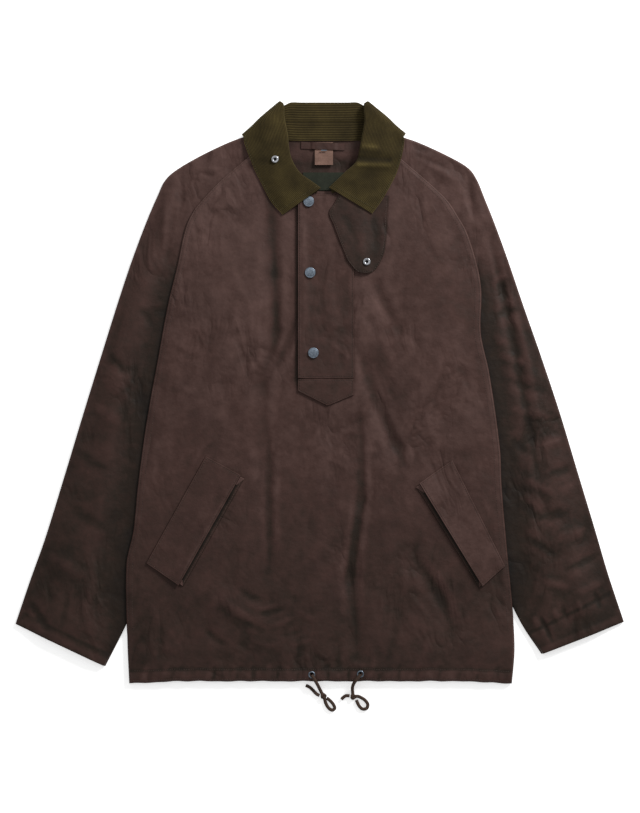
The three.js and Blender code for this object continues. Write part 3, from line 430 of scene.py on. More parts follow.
# Sleeves: a tube pressed flat, open at the cuff and under the body's edge
sleeveSections = {
    "right": [(-426.6, -322, -300.6, -381.5), (-405.6, -260, -273, -327), (-384.6, -201, -246, -266),
              (-358, -115, -218, -174), (-331.4, -27, -189, -74), (-304.8, 59, -160.6, 8),
              (-283.8, 126, -163.4, 90), (-264.2, 185, -172, 150), (-243.2, 241, -178, 205),
              (-227.8, 277, -174, 240), (-216.6, 300, -163, 259), (-198.4, 316, -148, 274.5),
              (-163.4, 336, -129, 295), (-128.4, 352.5, -109, 312), (-102, 362, -91, 329),
              (-76, 373, -73.5, 344)],
    "left": [(426.6, -319.2, 310.8, -364.3), (404.3, -252, 280, -317), (386.1, -190, 250, -250),
             (360.2, -104, 222, -155), (336.4, -25, 194, -66), (309.8, 55, 162.8, 8),
             (286, 123, 168.4, 90), (263.6, 189, 183, 152), (245.4, 239, 198, 208),
             (231.4, 274, 190, 238), (220.2, 301, 176.5, 258.5), (207, 318, 163, 273),
             (178.2, 334.6, 145, 291), (140.4, 352, 124, 310), (114, 361, 104, 328),
             (88, 373, 85.5, 344)],
}
sleeveCreases = [
    (-172, 312, -152, 307, -132, 303, -1.2, 4), (-168, 296, -156, 290, -146, 284, -1.1, 4),
    (-190, 270, -178, 264, -166, 260, -1.0, 4), (-160, 318, -140, 314, -124, 312, 0.8, 4),
    (-192, 312, -192, 262, -196, 206, -1.3, 5), (-202, 276, -206, 200, -210, 132, -1.9, 6),
    (-216, 292, -216, 240, -220, 176, 1.2, 6), (-230, 256, -234, 200, -240, 150, 0.8, 7),
    (-410, -284, -392, -312, -374, -338, -1.7, 6), (-312, 64, -284, 44, -256, 24, -0.9, 8),
    (-330, -6, -300, -24, -272, -46, 0.9, 9), (-352, -74, -320, -94, -284, -114, -0.8, 8),
    (-262, 128, -236, 104, -216, 82, -0.9, 7), (-396, -214, -362, -236, -322, -260, 0.8, 9),
    (-362, -144, -330, -170, -292, -194, -0.8, 9), (-240, 60, -258, 0, -266, -50, 0.9, 9),
    (-306, -240, -320, -280, -332, -322, 0.8, 8), (-350, -270, -356, -300, -364, -336, -0.8, 6),
    (-264, 150, -276, 90, -292, 30, 0.8, 9), (-300, -130, -318, -190, -330, -240, 0.8, 9),
    (209, 320, 212, 265, 217, 226, -2.0, 5), (222, 314, 225, 270, 230, 236, 1.3, 6),
    (231, 262, 251, 158, 271, 71, 296, -57, 306, -122, 318, -170, -2.1, 6.5),
    (246, 240, 266, 150, 288, 60, 312, -60, 1.5, 7), (244, 60, 272, 48, 306, 40, 1.2, 6),
    (256, 24, 290, 10, 326, 2, -1.3, 6), (262, -18, 296, -26, 330, -34, 1.2, 6),
    (248, -56, 276, -70, 306, -90, -1.3, 6), (304, -74, 328, -66, 350, -56, 1.1, 6),
    (314, -114, 338, -108, 364, -98, -1.3, 6), (280, -116, 306, -128, 336, -144, 1.3, 6),
    (294, -172, 322, -170, 356, -162, -1.3, 6), (324, -204, 350, -198, 382, -186, 1.2, 6),
    (284, -196, 308, -212, 336, -230, -1.3, 6), (338, -246, 364, -238, 396, -222, -1.2, 6),
    (304, -258, 328, -266, 356, -272, 1.2, 6), (354, -280, 376, -272, 404, -258, 1.1, 6),
    (222, 144, 246, 160, 274, 174, 1.1, 7), (238, 106, 264, 116, 294, 128, -1.3, 7),
    (232, 94, 248, 78, 266, 66, 1.1, 7), (260, 208, 274, 176, 288, 144, -1.2, 7),
    (220, 210, 230, 184, 238, 156, -1.1, 6), (130, 336, 156, 326, 188, 312, -1.3, 5),
    (146, 324, 168, 312, 194, 296, 1.1, 5), (306, -306, 316, -326, 328, -352, -1.8, 4),
    (338, -292, 342, -306, 348, -322, -1.2, 4), (358, -284, 364, -298, 372, -316, 1.1, 4),
    (382, -272, 388, -286, 394, -304, -1.1, 4), (326, -296, 330, -308, 336, -322, 1.1, 4),
    (298, -306, 302, -318, 308, -334, 0.9, 4), (270, -150, 292, -160, 312, -180, -0.9, 6),
    (330, -140, 350, -130, 372, -124, 0.9, 6), (232, 20, 244, -10, 262, -40, -0.9, 7),
]
cuffSeams = {"left": (40.0, -0.8, 1.6), "right": (18.0, -0.45, 1.5)}  # up the sleeve, depth, width
sleeveSizes = {"rows": 216, "top": 58, "bottom": 30, "round": 7}


def makeSleeve(side):
    table = np.array(sleeveSections[side], float)
    index = np.arange(len(table))
    t = np.linspace(0, len(table) - 1, sleeveSizes["rows"])
    outX, outY, inX, inY = (curveOf(index, table[:, k])(t) for k in range(4))
    width = np.hypot(inX - outX, inY - outY)
    ux, uy = (inX - outX) / width, (inY - outY) / width
    climb = np.concatenate([[0], np.cumsum(np.hypot(np.diff(outX + inX), np.diff(outY + inY)) / 2)])
    seamAt, seamDeep, seamWide = cuffSeams[side]
    seam = seamDeep * np.exp(-((climb - seamAt) / seamWide) ** 2)
    hem = 0.5 * np.clip(1 - ((climb - 6) / 7) ** 2, 0, 1)

    def at(q):
        return outX[:, None] + ux[:, None] * q, outY[:, None] + uy[:, None] * q

    def fold(q):
        x, y = at(q)
        top, low = sleeveTop(x, y, 0.0), sleeveBottom(x, y)
        return (top - low) / 2, (top + low) / 2

    outerRadius, outerMiddle = fold(np.zeros((len(t), 1)))
    innerRadius, innerMiddle = fold(width[:, None])
    start, end = outerRadius, width[:, None] - innerRadius
    share = np.linspace(0, 1, sleeveSizes["top"])[None, :]
    q = lerp(start, end, share[:, ::-1])
    x, y = at(q)
    fromOuter = q - start
    outside = outsideBody(x, y)
    nearRim = smooth(fromOuter / 16) * smooth((outside - 12) / 14)
    top = sleeveTop(x, y, fromOuter) + creaseRise(x, y, sleeveCreases) * nearRim
    top = top + (seam + hem)[:, None] * smooth(fromOuter / 8) * smooth((outside - 6) / 10)
    # Near the outer fold the sleeve rounds over
    parts = [np.stack([x, y, top], axis=2)]
    angles = np.radians(np.linspace(0, 180, sleeveSizes["round"] + 2)[1:-1])[None, :]
    x, y = at(start - outerRadius * np.sin(angles))
    parts.append(np.stack([x, y, outerMiddle + outerRadius * np.cos(angles)], axis=2))
    q = lerp(start, end, np.linspace(0, 1, sleeveSizes["bottom"])[None, :])
    x, y = at(q)
    parts.append(np.stack([x, y, sleeveBottom(x, y)], axis=2))
    x, y = at(end + innerRadius * np.sin(angles))
    parts.append(np.stack([x, y, innerMiddle - innerRadius * np.cos(angles)], axis=2))
    grid = np.concatenate(parts, axis=1)
    if side == "right":
        grid = grid[:, ::-1]
    rows, columns = grid.shape[:2]
    closing = np.zeros(columns, bool)
    count = sleeveSizes["round"] + 1
    if side == "left":
        closing[-count:] = True
    else:
        closing[: count - 1] = True
        closing[-1] = True
    armpit = 5 / (len(table) - 1) * (rows - 1)
    keep = ~((np.arange(rows - 1)[:, None] >= armpit) & closing[None, :])
    y = grid[:, :, 1]
    outside = outsideBody(grid[:, :, 0], y)
    # Painted light: lighter towards the shoulders and a little darker towards the cuff, then painted shadow
    # where the sleeve runs under the body's edge
    tone = tones["sleeve"] + 0.20 * smooth((y - 60) / 240) - 0.05 * smooth((-60 - y) / 240)
    tone = tone - 0.28 * np.exp(-np.maximum(outside, 0) / 13) * smooth((200 - y) / 60)
    shades = {"tone": tone, "ridge": ridgeOf(grid)}
    return cloth(f"{side}_sleeve", grid, thickness["sleeve"], shades, wrap=True, keep=keep)


# Collar: from one front end round the back, as the CAD has it, and finer
# Each station is seamX, seamY, rollX, rollY, edgeX, edgeY and lift
collarStations = {
    "right": [(-5, 281.5, 1.8, 287.7, -51.4, 250.6, 1.6), (-19, 285.5, -10.8, 296.8, -67, 268, 1),
              (-35, 291.5, -27.6, 309.4, -80, 292, 0), (-54.5, 308, -38.8, 327.6, -91, 314, 0),
              (-68, 333, -43, 345.8, -100, 336, 0), (-68, 349, -44.4, 362.6, -105, 350, 0),
              (-64, 355, -49, 386, -106, 357, 0)],
    "left": [(17, 281.5, 12.7, 288.5, 73.2, 252, 0), (31, 286, 22.5, 297.5, 85, 268, 0),
             (46, 293, 36, 310.5, 97, 288, 0), (64, 310, 50.7, 324.2, 107, 308, 0),
             (79, 333, 56, 344, 114, 330, 0), (80, 349, 59, 361, 117.6, 347, 0),
             (77, 355, 62.5, 383, 118.6, 356, 0)],
}
collarWrap = {"right": (-62, 357, -50.2, 404.6, -105.5, 359.5, 0),
              "left": (75, 357, 61.7, 404.6, 117.1, 360.8, 0)}
wrapOutward = {"right": (-0.651, 0.759), "left": (0.651, 0.759)}
collarBack = [
    (-50, 356, -41, 408.8, -84, 352, 0), (-30, 355, -26, 408.8, -54, 347.5, 0),
    (-12, 355, -10, 408.8, -24, 345, 0), (6, 355, 6, 408.8, 6, 344, 0),
    (24, 355, 22, 408.8, 36, 345, 0), (43, 355, 38, 408.8, 66, 347.5, 0),
    (62, 356, 53, 408.8, 96, 352, 0),
]
leafFolds = [
    (54, 320, 98, 319, 2.4, 4.5), (56, 329, 94, 330, -1.9, 4), (60, 345, 80, 342, 1.3, 4),
    (40, 300, 70, 292, 0.6, 6), (-60, 300, -84, 296, 0.6, 5), (-58, 322, -86, 324, -0.6, 5),
    (60, 268, 80, 276, 0.5, 5), (-50, 276, -68, 284, 0.4, 5),
]
# Painted shade and painted highlight: how much darker or lighter the pile is painted along those folds, in
# their troughs and on their ridges
leafPaintedShade = [(52, 328, 98, 327, -1.3, 4.0), (54, 320, 98, 319, 1.0, 3.0), (60, 338, 82, 336, -0.7, 4),
              (62, 347, 80, 345, 0.6, 3), (-60, 328, -84, 326, -0.4, 6), (60, 276, 84, 284, 0.4, 6)]
corduroySizes = {"wale": 2.1, "depth": 0.2, "perWale": 5, "along": 156}


# Height of the roll's top, radius of the roll, gap over the cloth below, and the leaf's wall
collarSizes = {"top": 16.4, "roll": 2.4, "gap": 0.6, "wall": 1.5}


def collarProfile(station, turn, outward):
    roll, gap = collarSizes["roll"], collarSizes["gap"]
    seamX, seamY, rollX, rollY, edgeX, edgeY, lift = station
    fallLength = math.hypot(edgeX - rollX, edgeY - rollY)
    ux, uy = (edgeX - rollX) / fallLength, (edgeY - rollY) / fallLength
    foldX, foldY = rollX + ux * roll, rollY + uy * roll
    angle = turn * math.pi
    rollBottom = collarSizes["top"] - 2 * roll + lift

    def place(x, y, inFront, behind):
        middle, radius = (inFront + behind) / 2, (inFront - behind) / 2
        out = radius * math.sin(angle)
        return (x + outward[0] * out, y + outward[1] * out, middle + radius * math.cos(angle))

    points = []
    for share in (0, 0.26, 0.52, 0.76, 1):
        x, y = lerp(seamX, foldX, share), lerp(seamY, foldY, share)
        onPanel = min(float(frontTop(np.array(x), np.array(y))) + gap, rollBottom)
        points.append(place(x, y, lerp(onPanel, rollBottom, math.sqrt(share)), 2 * roll))
    for degrees in (45, 90, 135):
        back = roll * math.sin(math.radians(degrees))
        rise = roll * (1 - math.cos(math.radians(degrees)))
        points.append(place(foldX - ux * back, foldY - uy * back, rollBottom + rise, 2 * roll - rise))
    for share in (0, 0.25, 0.5, 0.75, 1):
        x, y = lerp(foldX, edgeX, share), lerp(foldY, edgeY, share)
        lying = float(underCollar(np.array(x), np.array(y))) + gap + collarSizes["wall"]
        hanging = lerp(collarSizes["top"] + lift, lying, share * share)
        points.append(place(x, y, max(hanging, lying), 0))
    return points


def through(grid, count):
    step = np.linalg.norm(np.diff(grid, axis=0), axis=2).mean(axis=1)
    at = np.concatenate([[0], np.cumsum(step)])
    return throughValues(at, grid, np.linspace(0, at[-1], count))


def corduroy(name, rows, tone, rim=0.0):
    rows = through(rows, corduroySizes["along"])
    turned = np.swapaxes(rows, 0, 1)
    length = np.linalg.norm(np.diff(turned, axis=0), axis=2).mean(axis=1).sum()
    wales = max(4, round(length / corduroySizes["wale"]))
    turned = through(turned, wales * corduroySizes["perWale"] + 1)
    grid = np.swapaxes(turned, 0, 1)
    x, y, z = grid[:, :, 0], grid[:, :, 1], grid[:, :, 2]
    lifted = foldRise(x, y, leafFolds) * smooth((z - 11.5) / 2.5)
    grid = np.stack([x, y, z + lifted], axis=2)
    phase = np.arange(grid.shape[1]) / corduroySizes["perWale"]
    wale = 0.5 + 0.5 * np.cos(2 * math.pi * phase)[None, :] + 0 * x
    edge = np.minimum(np.arange(grid.shape[0]), np.arange(grid.shape[0])[::-1])[:, None] / 2
    normal = gridNormals(grid)
    outer = grid + normal * (wale * corduroySizes["depth"] * np.minimum(edge, 1))[:, :, None]
    inner = grid - normal * thickness["corduroy"]
    shade = foldRise(x, y, leafPaintedShade) * smooth((z - 11.5) / 2.5)
    shade[:, -4:] += rim * np.array([0.2, 0.5, 0.8, 1.0])
    attributes = {"wale": wale, "tone": tone + shade}
    return wallMesh(name, outer, inner, attributes, sharp=60), grid


def makeCollar():
    rows = []
    for side in ("left", "right"):
        half = [collarProfile(s, 0, (0, 0)) for s in collarStations[side]]
        half += [collarProfile(collarWrap[side], t, wrapOutward[side]) for t in (0, 0.25, 0.5, 0.75, 1)]
        if side == "left":
            rows = half + [collarProfile(s, 1, (0, 0)) for s in reversed(collarBack)]
        else:
            rows += half[::-1]
    rows = np.array(rows)
    stand, fall = rows[:, :3], rows[:, 2:].copy()
    apart = fall[:, 1] - fall[:, 0]
    fall[:, 0] += apart / np.linalg.norm(apart, axis=1, keepdims=True) * 0.6
    return (corduroy("collar_stand_cloth", stand, tones["stand"]),
            corduroy("collar_fall_cloth", fall, tones["fall"], 0.8))


# Flaps, bands and patches that lie on the front
laidSizes = {"step": 2.6, "round": 0.9, "groove": 0.3, "stitchIn": 2.1}


def sharesOf(length, step=None):
    near = np.array([0, 0.35, 0.9, 1.5, 2.1, 2.7, 3.4])
    count = max(2, int((length - 6.8) / (step or laidSizes["step"])))
    middle = np.linspace(3.4, length - 3.4, count + 1)[1:-1]
    return np.concatenate([near, middle, length - near[::-1]]) / length


def edgeDistance(x, y):
    def runs(axis):
        d = np.hypot(np.diff(x, axis=axis), np.diff(y, axis=axis))
        run = np.cumsum(d, axis=axis)
        zero = np.zeros_like(np.take(run, [0], axis=axis))
        run = np.concatenate([zero, run], axis=axis)
        return np.minimum(run, np.take(run, [-1], axis=axis) - run)
    return np.minimum(runs(0), runs(1))


def laid(name, place, across, along, thick, gap=0.6, extra=None, folds=(), tone=0.6):
    a, b = np.meshgrid(sharesOf(across), sharesOf(along))
    x, y = place(a, b)
    rise = extra(a, b, x, y) if extra else 0.0
    edge = edgeDistance(x, y)
    low = frontTop(x, y) + gap + rise
    k = 1 - np.minimum(edge / laidSizes["round"], 1)
    top = low + thick - 0.75 * (1 - np.sqrt(np.maximum(1 - k * k, 0)))
    top = top - laidSizes["groove"] * np.exp(-((edge - laidSizes["stitchIn"]) / 0.6) ** 2)
    top = top + foldRise(x, y, list(folds)) * smooth((edge - 3) / 6)
    outer, inner = np.stack([x, y, top], axis=2), np.stack([x, y, low], axis=2)
    shade = tone(a, b) if callable(tone) else tone
    # Painted light: every laid piece is a little lighter towards the collar
    values = {"tone": shade + 0.1 * smooth((y - 100) / 200) + 0 * x, "ridge": ridgeOf(outer, 2, 0.5)}
    return wallMesh(name, outer, inner, values), outer


def placketPlace(a, b):
    return lerp(placket["right"], placket["left"], a), lerp(placket["bottom"], placket["top"], b)


pointEnd = [(-30.5, 4), (-10, -6), (10.9, -16.5), (29, -9), (47.5, -1.4)]


def pointPlace(a, b):
    x = lerp(-30.5, 47.5, a)
    return x, lerp(np.interp(x, *zip(*pointEnd)), 21.4, b)


tabRows = [
    (168.7, 62.2, 65.8), (169.7, 57, 71), (173, 50, 76.5), (178, 45.5, 81), (187, 38.6, 86),
    (197, 34.5, 90), (216, 27, 93.3), (235, 20, 95), (253.4, 13, 96), (266, 20, 96.7), (278, 27, 97.4),
]
tabY, tabRight, tabLeft = zip(*tabRows)
tabSides = (curveOf(tabY, tabRight), curveOf(tabY, tabLeft))


def tabPlace(a, b):
    y = lerp(168.7, 278, b)
    return lerp(tabSides[0](y), tabSides[1](y), a), y


def weltWidth(side):
    outerTop, innerTop = welts[side][:2]
    return math.hypot(innerTop[0] - outerTop[0], innerTop[1] - outerTop[1])


def facingPlace(side):
    width = weltWidth(side)
    return lambda a, b: weltPoint(side, 1 + lerp(-6, 6.5, a) / width, lerp(0.012, 0.988, b))


placketFolds = [(-22, 230, -18, 60, 0.4, 5), (10, 250, 14, 90, 0.5, 8), (34, 160, 30, 40, -0.5, 7),
                (-10, 120, 20, 104, -0.35, 6), (-4, 210, 30, 200, 0.35, 7), (20, 70, 40, 52, 0.4, 5)]
tabFolds = [(52, 250, 60, 200, 0.5, 7), (76, 240, 82, 205, -0.5, 6), (34, 246, 52, 214, -0.4, 5)]


def makeFlaps():
    flaps = {}
    free = lambda a, b, x, y: 1.6 * (1 - smooth(a / 0.3))
    flaps["placket"] = laid("placket_band", placketPlace, 78.5, 257, thickness["flap"],
                            extra=free, folds=placketFolds, tone=tones["placket"])
    flaps["placket_point"] = laid("placket_pointed_end", pointPlace, 78, 30, thickness["flap"],
                                  tone=tones["point"])
    onPlacket = lambda a, b, x, y: tabRise(x, y)
    flaps["throat_tab"] = laid("throat_tab_flap", tabPlace, 60, 108.3, thickness["flap"],
                               extra=onPlacket, folds=tabFolds, tone=tones["tab"])
    # Painted shade: the pocket facing is dark under the welt's raised edge, lighter beyond it, and darker
    # again at its outer edge
    mouthPaintedShade = lambda a, b: 0.02 + 0.42 * smooth((a - 0.55) / 0.32) - 0.26 * smooth((a - 0.88) / 0.1)
    gape = lambda a, b, x, y: 3.6 * a ** 2 * lerp(0.75, 1, smooth(np.minimum(b, 1 - b) / 0.11))
    for side in welts:
        place = lambda a, b, side=side: weltPoint(side, a, b)
        flaps[f"pocket_welt_{side}"] = laid(f"{side}_pocket_welt", place, 54, 172, thickness["flap"],
                                            extra=gape, tone=tones[f"{side}_welt"])
        flaps[f"pocket_facing_{side}"] = laid(f"{side}_pocket_facing", facingPlace(side), 12.5, 168,
                                              thickness["facing"], gap=0.3, tone=mouthPaintedShade)
    return flaps


# Small folded corners that close the pocket mouth at both ends: first and last share along it, width
gussetPlaces = {"upper": (0.012, 0.088, 7.5), "lower": (0.988, 0.950, 5.5)}


def makeGusset(side, end):
    first, last, wide = gussetPlaces[end]
    width = weltWidth(side)

    def place(a, b):
        out = lerp(0.3, wide, a) * lerp(1, 0.2, b)
        return weltPoint(side, 1 + out / width, lerp(first, last, b))

    slope = lambda a, b, x, y: 1.1 * (1 - a)
    return laid(f"{side}_{end}_gusset", place, 8, 13, thickness["gusset"], gap=1.6, extra=slope,
                tone=tones["gusset"])[0]


# Inside the neck
def strip(name, place, across, along, thick, height, tone=tones["strip"]):
    a, b = np.meshgrid(np.linspace(0, 1, across), np.linspace(0, 1, along))
    x, y = place(a, b)
    low = thickness["panel"] + neckFloor(x, y) + 0.3 + height(x, y)
    outer, inner = np.stack([x, y, low + thick], axis=2), np.stack([x, y, low], axis=2)
    return wallMesh(name, outer, inner, {"tone": tone + 0 * x, "ridge": 0.5 + 0 * x})


webbingHeight = curveOf((321, 327, 334, 339, 342, 353), (3.0, 2.0, 1.2, 0.8, 0.15, 0.1))


def makeNeck():
    loop = strip("hanger_loop_strip", lambda a, b: (lerp(-26, 34.7, b), lerp(344, 341.5, b) + 9.5 * a),
                 8, 44, thickness["strip"], lambda x, y: 1.75 * smooth((20 - np.abs(x - 5.8)) / 5),
                 tones["loop"])
    webbing = strip("hanger_webbing_tab", lambda a, b: (lerp(-6.9, 18.6, a), lerp(321, 353, b)),
                    40, 48, thickness["strip"], lambda x, y: webbingHeight(y) + 0 * x)
    label = strip("neck_label_cloth", lambda a, b: (lerp(-23.4, 38.2, a), lerp(285.6, 310.8, b)),
                  64, 28, thickness["label"], lambda x, y: 0.12 * np.cos(x / 5) + 0.12)
    return loop, webbing, label


# Snaps and eyelets, turned round an upright axis
def ringFaces(rows, columns, closed=False):
    faces = []
    for i in range(rows if closed else rows - 1):
        n = (i + 1) % rows
        for j in range(columns):
            k = (j + 1) % columns
            faces.append((i * columns + j, i * columns + k, n * columns + k, n * columns + j))
    return faces


def lathe(name, profile, place, z, segments=56):
    angles = np.linspace(0, 2 * math.pi, segments, endpoint=False)
    positions = []
    for r, h in profile:
        positions += [(place[0] + r * math.cos(t), place[1] + r * math.sin(t), z + h) for t in angles]
    return finishMesh(name, positions, ringFaces(len(profile), segments), sharp=50)


capProfile = [(0.02, 0), (6.8, 0), (7.3, 0.25), (7.5, 0.7), (7.5, 1.3), (7.35, 1.65), (7.0, 1.85),
              (6.6, 1.85), (6.3, 1.72), (6.0, 1.78), (5.0, 2.02), (3.6, 2.2), (1.8, 2.3), (0.02, 2.33)]
socketProfile = [(0.02, 0), (4.8, 0), (5.2, 0.5), (5.1, 1.1), (4.7, 1.5), (4.1, 1.6), (3.4, 1.45),
                 (2.6, 1.3), (2.15, 1.1), (1.95, 0.6), (1.8, 0.45), (0.02, 0.45)]
eyeletProfile = [(2.9, 0), (5.0, 0), (5.0, 0.45), (4.7, 0.9), (4.2, 1.1), (3.6, 1.1), (3.1, 0.9),
                 (2.9, 0.6), (2.9, 0)]


# Drawcord ends: the CAD's route, with a few points moved so that each cord meets its knot
cordSizes = {"radius": 2.25, "lies": 2.4, "knotTube": 1.75, "braid": 0.11}
drawcords = {
    "right": {
        "strand": [(-11.1, -392.5, 15), (-8.6, -396.5, 14.8), (-6.2, -400.5, 14), (-4, -404.8, 11.4),
                   (-2, -409, 7.4), (0, -413.6, 4.4), (2.7, -418.9, 3.4)],
        "knot": (5.2, -423.2, 4.6),
        "loop": [(6.9, -427.8), (8.6, -434), (12.6, -440.5), (17.6, -443.4), (21, -440.6),
                 (18.6, -434.6), (14, -429.6), (9.9, -426.3)],
        "tail": [(-0.4, -422.9), (-4.8, -420.4), (-9.4, -415.6), (-14, -411.4), (-19.4, -408.6)],
    },
    "left": {
        "strand": [(57, -391.5, 15), (53.6, -396, 14.8), (50.4, -400.2, 14), (47.6, -404.8, 11.4),
                   (46.2, -409.4, 7.4), (45.8, -414, 4.4), (46.3, -419.4, 3.4)],
        "knot": (47, -424.3, 4.6),
        "loop": [(53, -424), (58.4, -426), (64, -430), (67.4, -435.4), (65.8, -440.8),
                 (60.2, -441.8), (55.4, -437.6), (51.3, -429.4)],
        "tail": [(41.9, -423.3), (37.4, -423.2), (33.6, -425), (30.4, -428.1)],
    },
}


def pathThrough(points, step=0.7):
    full = np.array([(p[0], p[1], p[2] if len(p) > 2 else cordSizes["lies"]) for p in points], float)
    length = np.linalg.norm(np.diff(full, axis=0), axis=1).sum()
    return through(full[:, None, :], int(length / step) + 2)[:, 0, :]


def tube(name, path, radius, around=18, braid=0.0, closed=False):
    if closed:
        tangent = np.roll(path, -1, 0) - np.roll(path, 1, 0)
    else:
        tangent = np.gradient(path, axis=0)
    tangent /= np.linalg.norm(tangent, axis=1, keepdims=True)
    side = np.cross(tangent, (0, 0, 1.0))
    side[np.linalg.norm(side, axis=1) < 1e-6] = (1, 0, 0)
    side /= np.linalg.norm(side, axis=1, keepdims=True)
    up = np.cross(side, tangent)
    run = np.concatenate([[0], np.cumsum(np.linalg.norm(np.diff(path, axis=0), axis=1))])
    theta = np.linspace(0, 2 * math.pi, around, endpoint=False)
    wave = np.cos(4 * theta[None, :] - run[:, None] * 1.9) * np.cos(4 * theta[None, :] + run[:, None] * 1.9)
    r = radius + braid * wave
    ring = (path[:, None, :] + side[:, None, :] * (r * np.cos(theta))[:, :, None]
            + up[:, None, :] * (r * np.sin(theta))[:, :, None])
    count = len(path)
    faces = ringFaces(count, around, closed)
    if not closed:
        faces.append(tuple(range(around)))
        faces.append(tuple((count - 1) * around + j for j in range(around)))
    return finishMesh(name, ring.reshape(-1, 3), faces, {"wale": (0.5 + 0.5 * wave).reshape(-1)})


def makeDrawcord(side):
    cord = drawcords[side]
    knotAt = np.array(cord["knot"])
    path = pathThrough(cord["strand"] + [cord["knot"]] + cord["loop"])
    line = tube(f"{side}_drawcord", path, cordSizes["radius"], braid=cordSizes["braid"])
    tailPath = pathThrough(cord["tail"])
    tail = tube(f"{side}_drawcord_end", tailPath, cordSizes["radius"], braid=cordSizes["braid"])
    t = np.linspace(0, 2 * math.pi, 120, endpoint=False)
    swing = 1.9 + 0.95 * np.cos(3 * t)
    turns = np.stack([swing * np.cos(2 * t), 0.95 * swing * np.sin(2 * t), 1.15 * np.sin(3 * t)], axis=1)
    knot = tube(f"{side}_drawcord_knot", turns + knotAt, cordSizes["knotTube"], 14, 0.08, closed=True)
    return line, path, tail, knot


# Materials
def colour(text):
    parts = [int(text[k:k + 2], 16) / 255 for k in (1, 3, 5)]
    return [p / 12.92 if p <= 0.04045 else ((p + 0.055) / 1.055) ** 2.4 for p in parts] + [1.0]


def newMaterial(name, settings):
    material = bpy.data.materials.new(name)
    material.use_nodes = True
    tree = material.node_tree
    shader = tree.nodes["Principled BSDF"]
    for key, value in settings.items():
        shader.inputs[key].default_value = value
    place = tree.nodes.new("ShaderNodeTexCoord").outputs["Object"]
    return material, tree, shader, place


def addNode(tree, kind, settings=None, inputs=None):
    node = tree.nodes.new(kind)
    for key, value in (settings or {}).items():
        setattr(node, key, value)
    for key, value in (inputs or {}).items():
        if isinstance(value, bpy.types.NodeSocket):
            tree.links.new(value, node.inputs[key])
        else:
            node.inputs[key].default_value = value
    return node


def combine(tree, operation, a, b, c=None):
    inputs = {0: a, 1: b} if c is None else {0: a, 1: b, 2: c}
    return addNode(tree, "ShaderNodeMath", {"operation": operation}, inputs).outputs[0]


def ramp(tree, factor, stops):
    node = addNode(tree, "ShaderNodeValToRGB", inputs={0: factor})
    points = node.color_ramp.elements
    while len(points) < len(stops):
        points.new(0.5)
    for point, (place, text) in zip(points, stops):
        point.position = place
        point.color = colour(text)
    return node.outputs[0]


def add(tree, total, value, share):
    return combine(tree, "MULTIPLY_ADD", value, share, total)


def centred(tree, value):
    return combine(tree, "SUBTRACT", value, 0.5)


def spread(tree, value, low, high, toLow=0.0, toHigh=1.0):
    inputs = {0: value, 1: low, 2: high, 3: toLow, 4: toHigh}
    return addNode(tree, "ShaderNodeMapRange", inputs=inputs).outputs[0]


def attribute(tree, name):
    return addNode(tree, "ShaderNodeAttribute", {"attribute_name": name}).outputs["Fac"]


def noise(tree, coordinates, scale, detail=4.0, roughness=0.55):
    inputs = {"Vector": coordinates, "Scale": scale, "Detail": detail, "Roughness": roughness}
    return addNode(tree, "ShaderNodeTexNoise", inputs=inputs).outputs["Fac"]


def bump(tree, height, distance, strength, below=None):
    inputs = {"Height": height, "Distance": distance, "Strength": strength}
    if below is not None:
        inputs["Normal"] = below
    return addNode(tree, "ShaderNodeBump", inputs=inputs).outputs[0]


# Waxed cotton: red-brown, with painted shade in the hollows and painted highlight on the ridges
waxedValues = {
    "colours": [(0.0, "#100b07"), (0.25, "#241a13"), (0.5, "#3f2b26"), (0.75, "#58423d"), (1.0, "#766055")],
    "olive": "#4a4130", "oliveShare": 0.32,
    "patchScale": 8.0, "patchShare": 0.34, "mottleScale": 62.0, "mottleShare": 0.40, "ridgeLightShadeShare": 0.26,
    "softScale": 24.0, "softDepth": 0.0050, "crinkleScale": 85.0, "crinkleDepth": 0.0013,
    "creaseScale": 14.0, "creaseStretch": (1.5, 0.75, 1.0), "creaseSharp": 8.0, "creaseDepth": 0.0030,
    "creaseTurn": 0.55, "creasePaintedShade": 0.10,
    "slubScale": 420.0, "slubDepth": 0.00014, "roughLow": 0.58, "roughHigh": 0.78, "shine": 0.18,
}


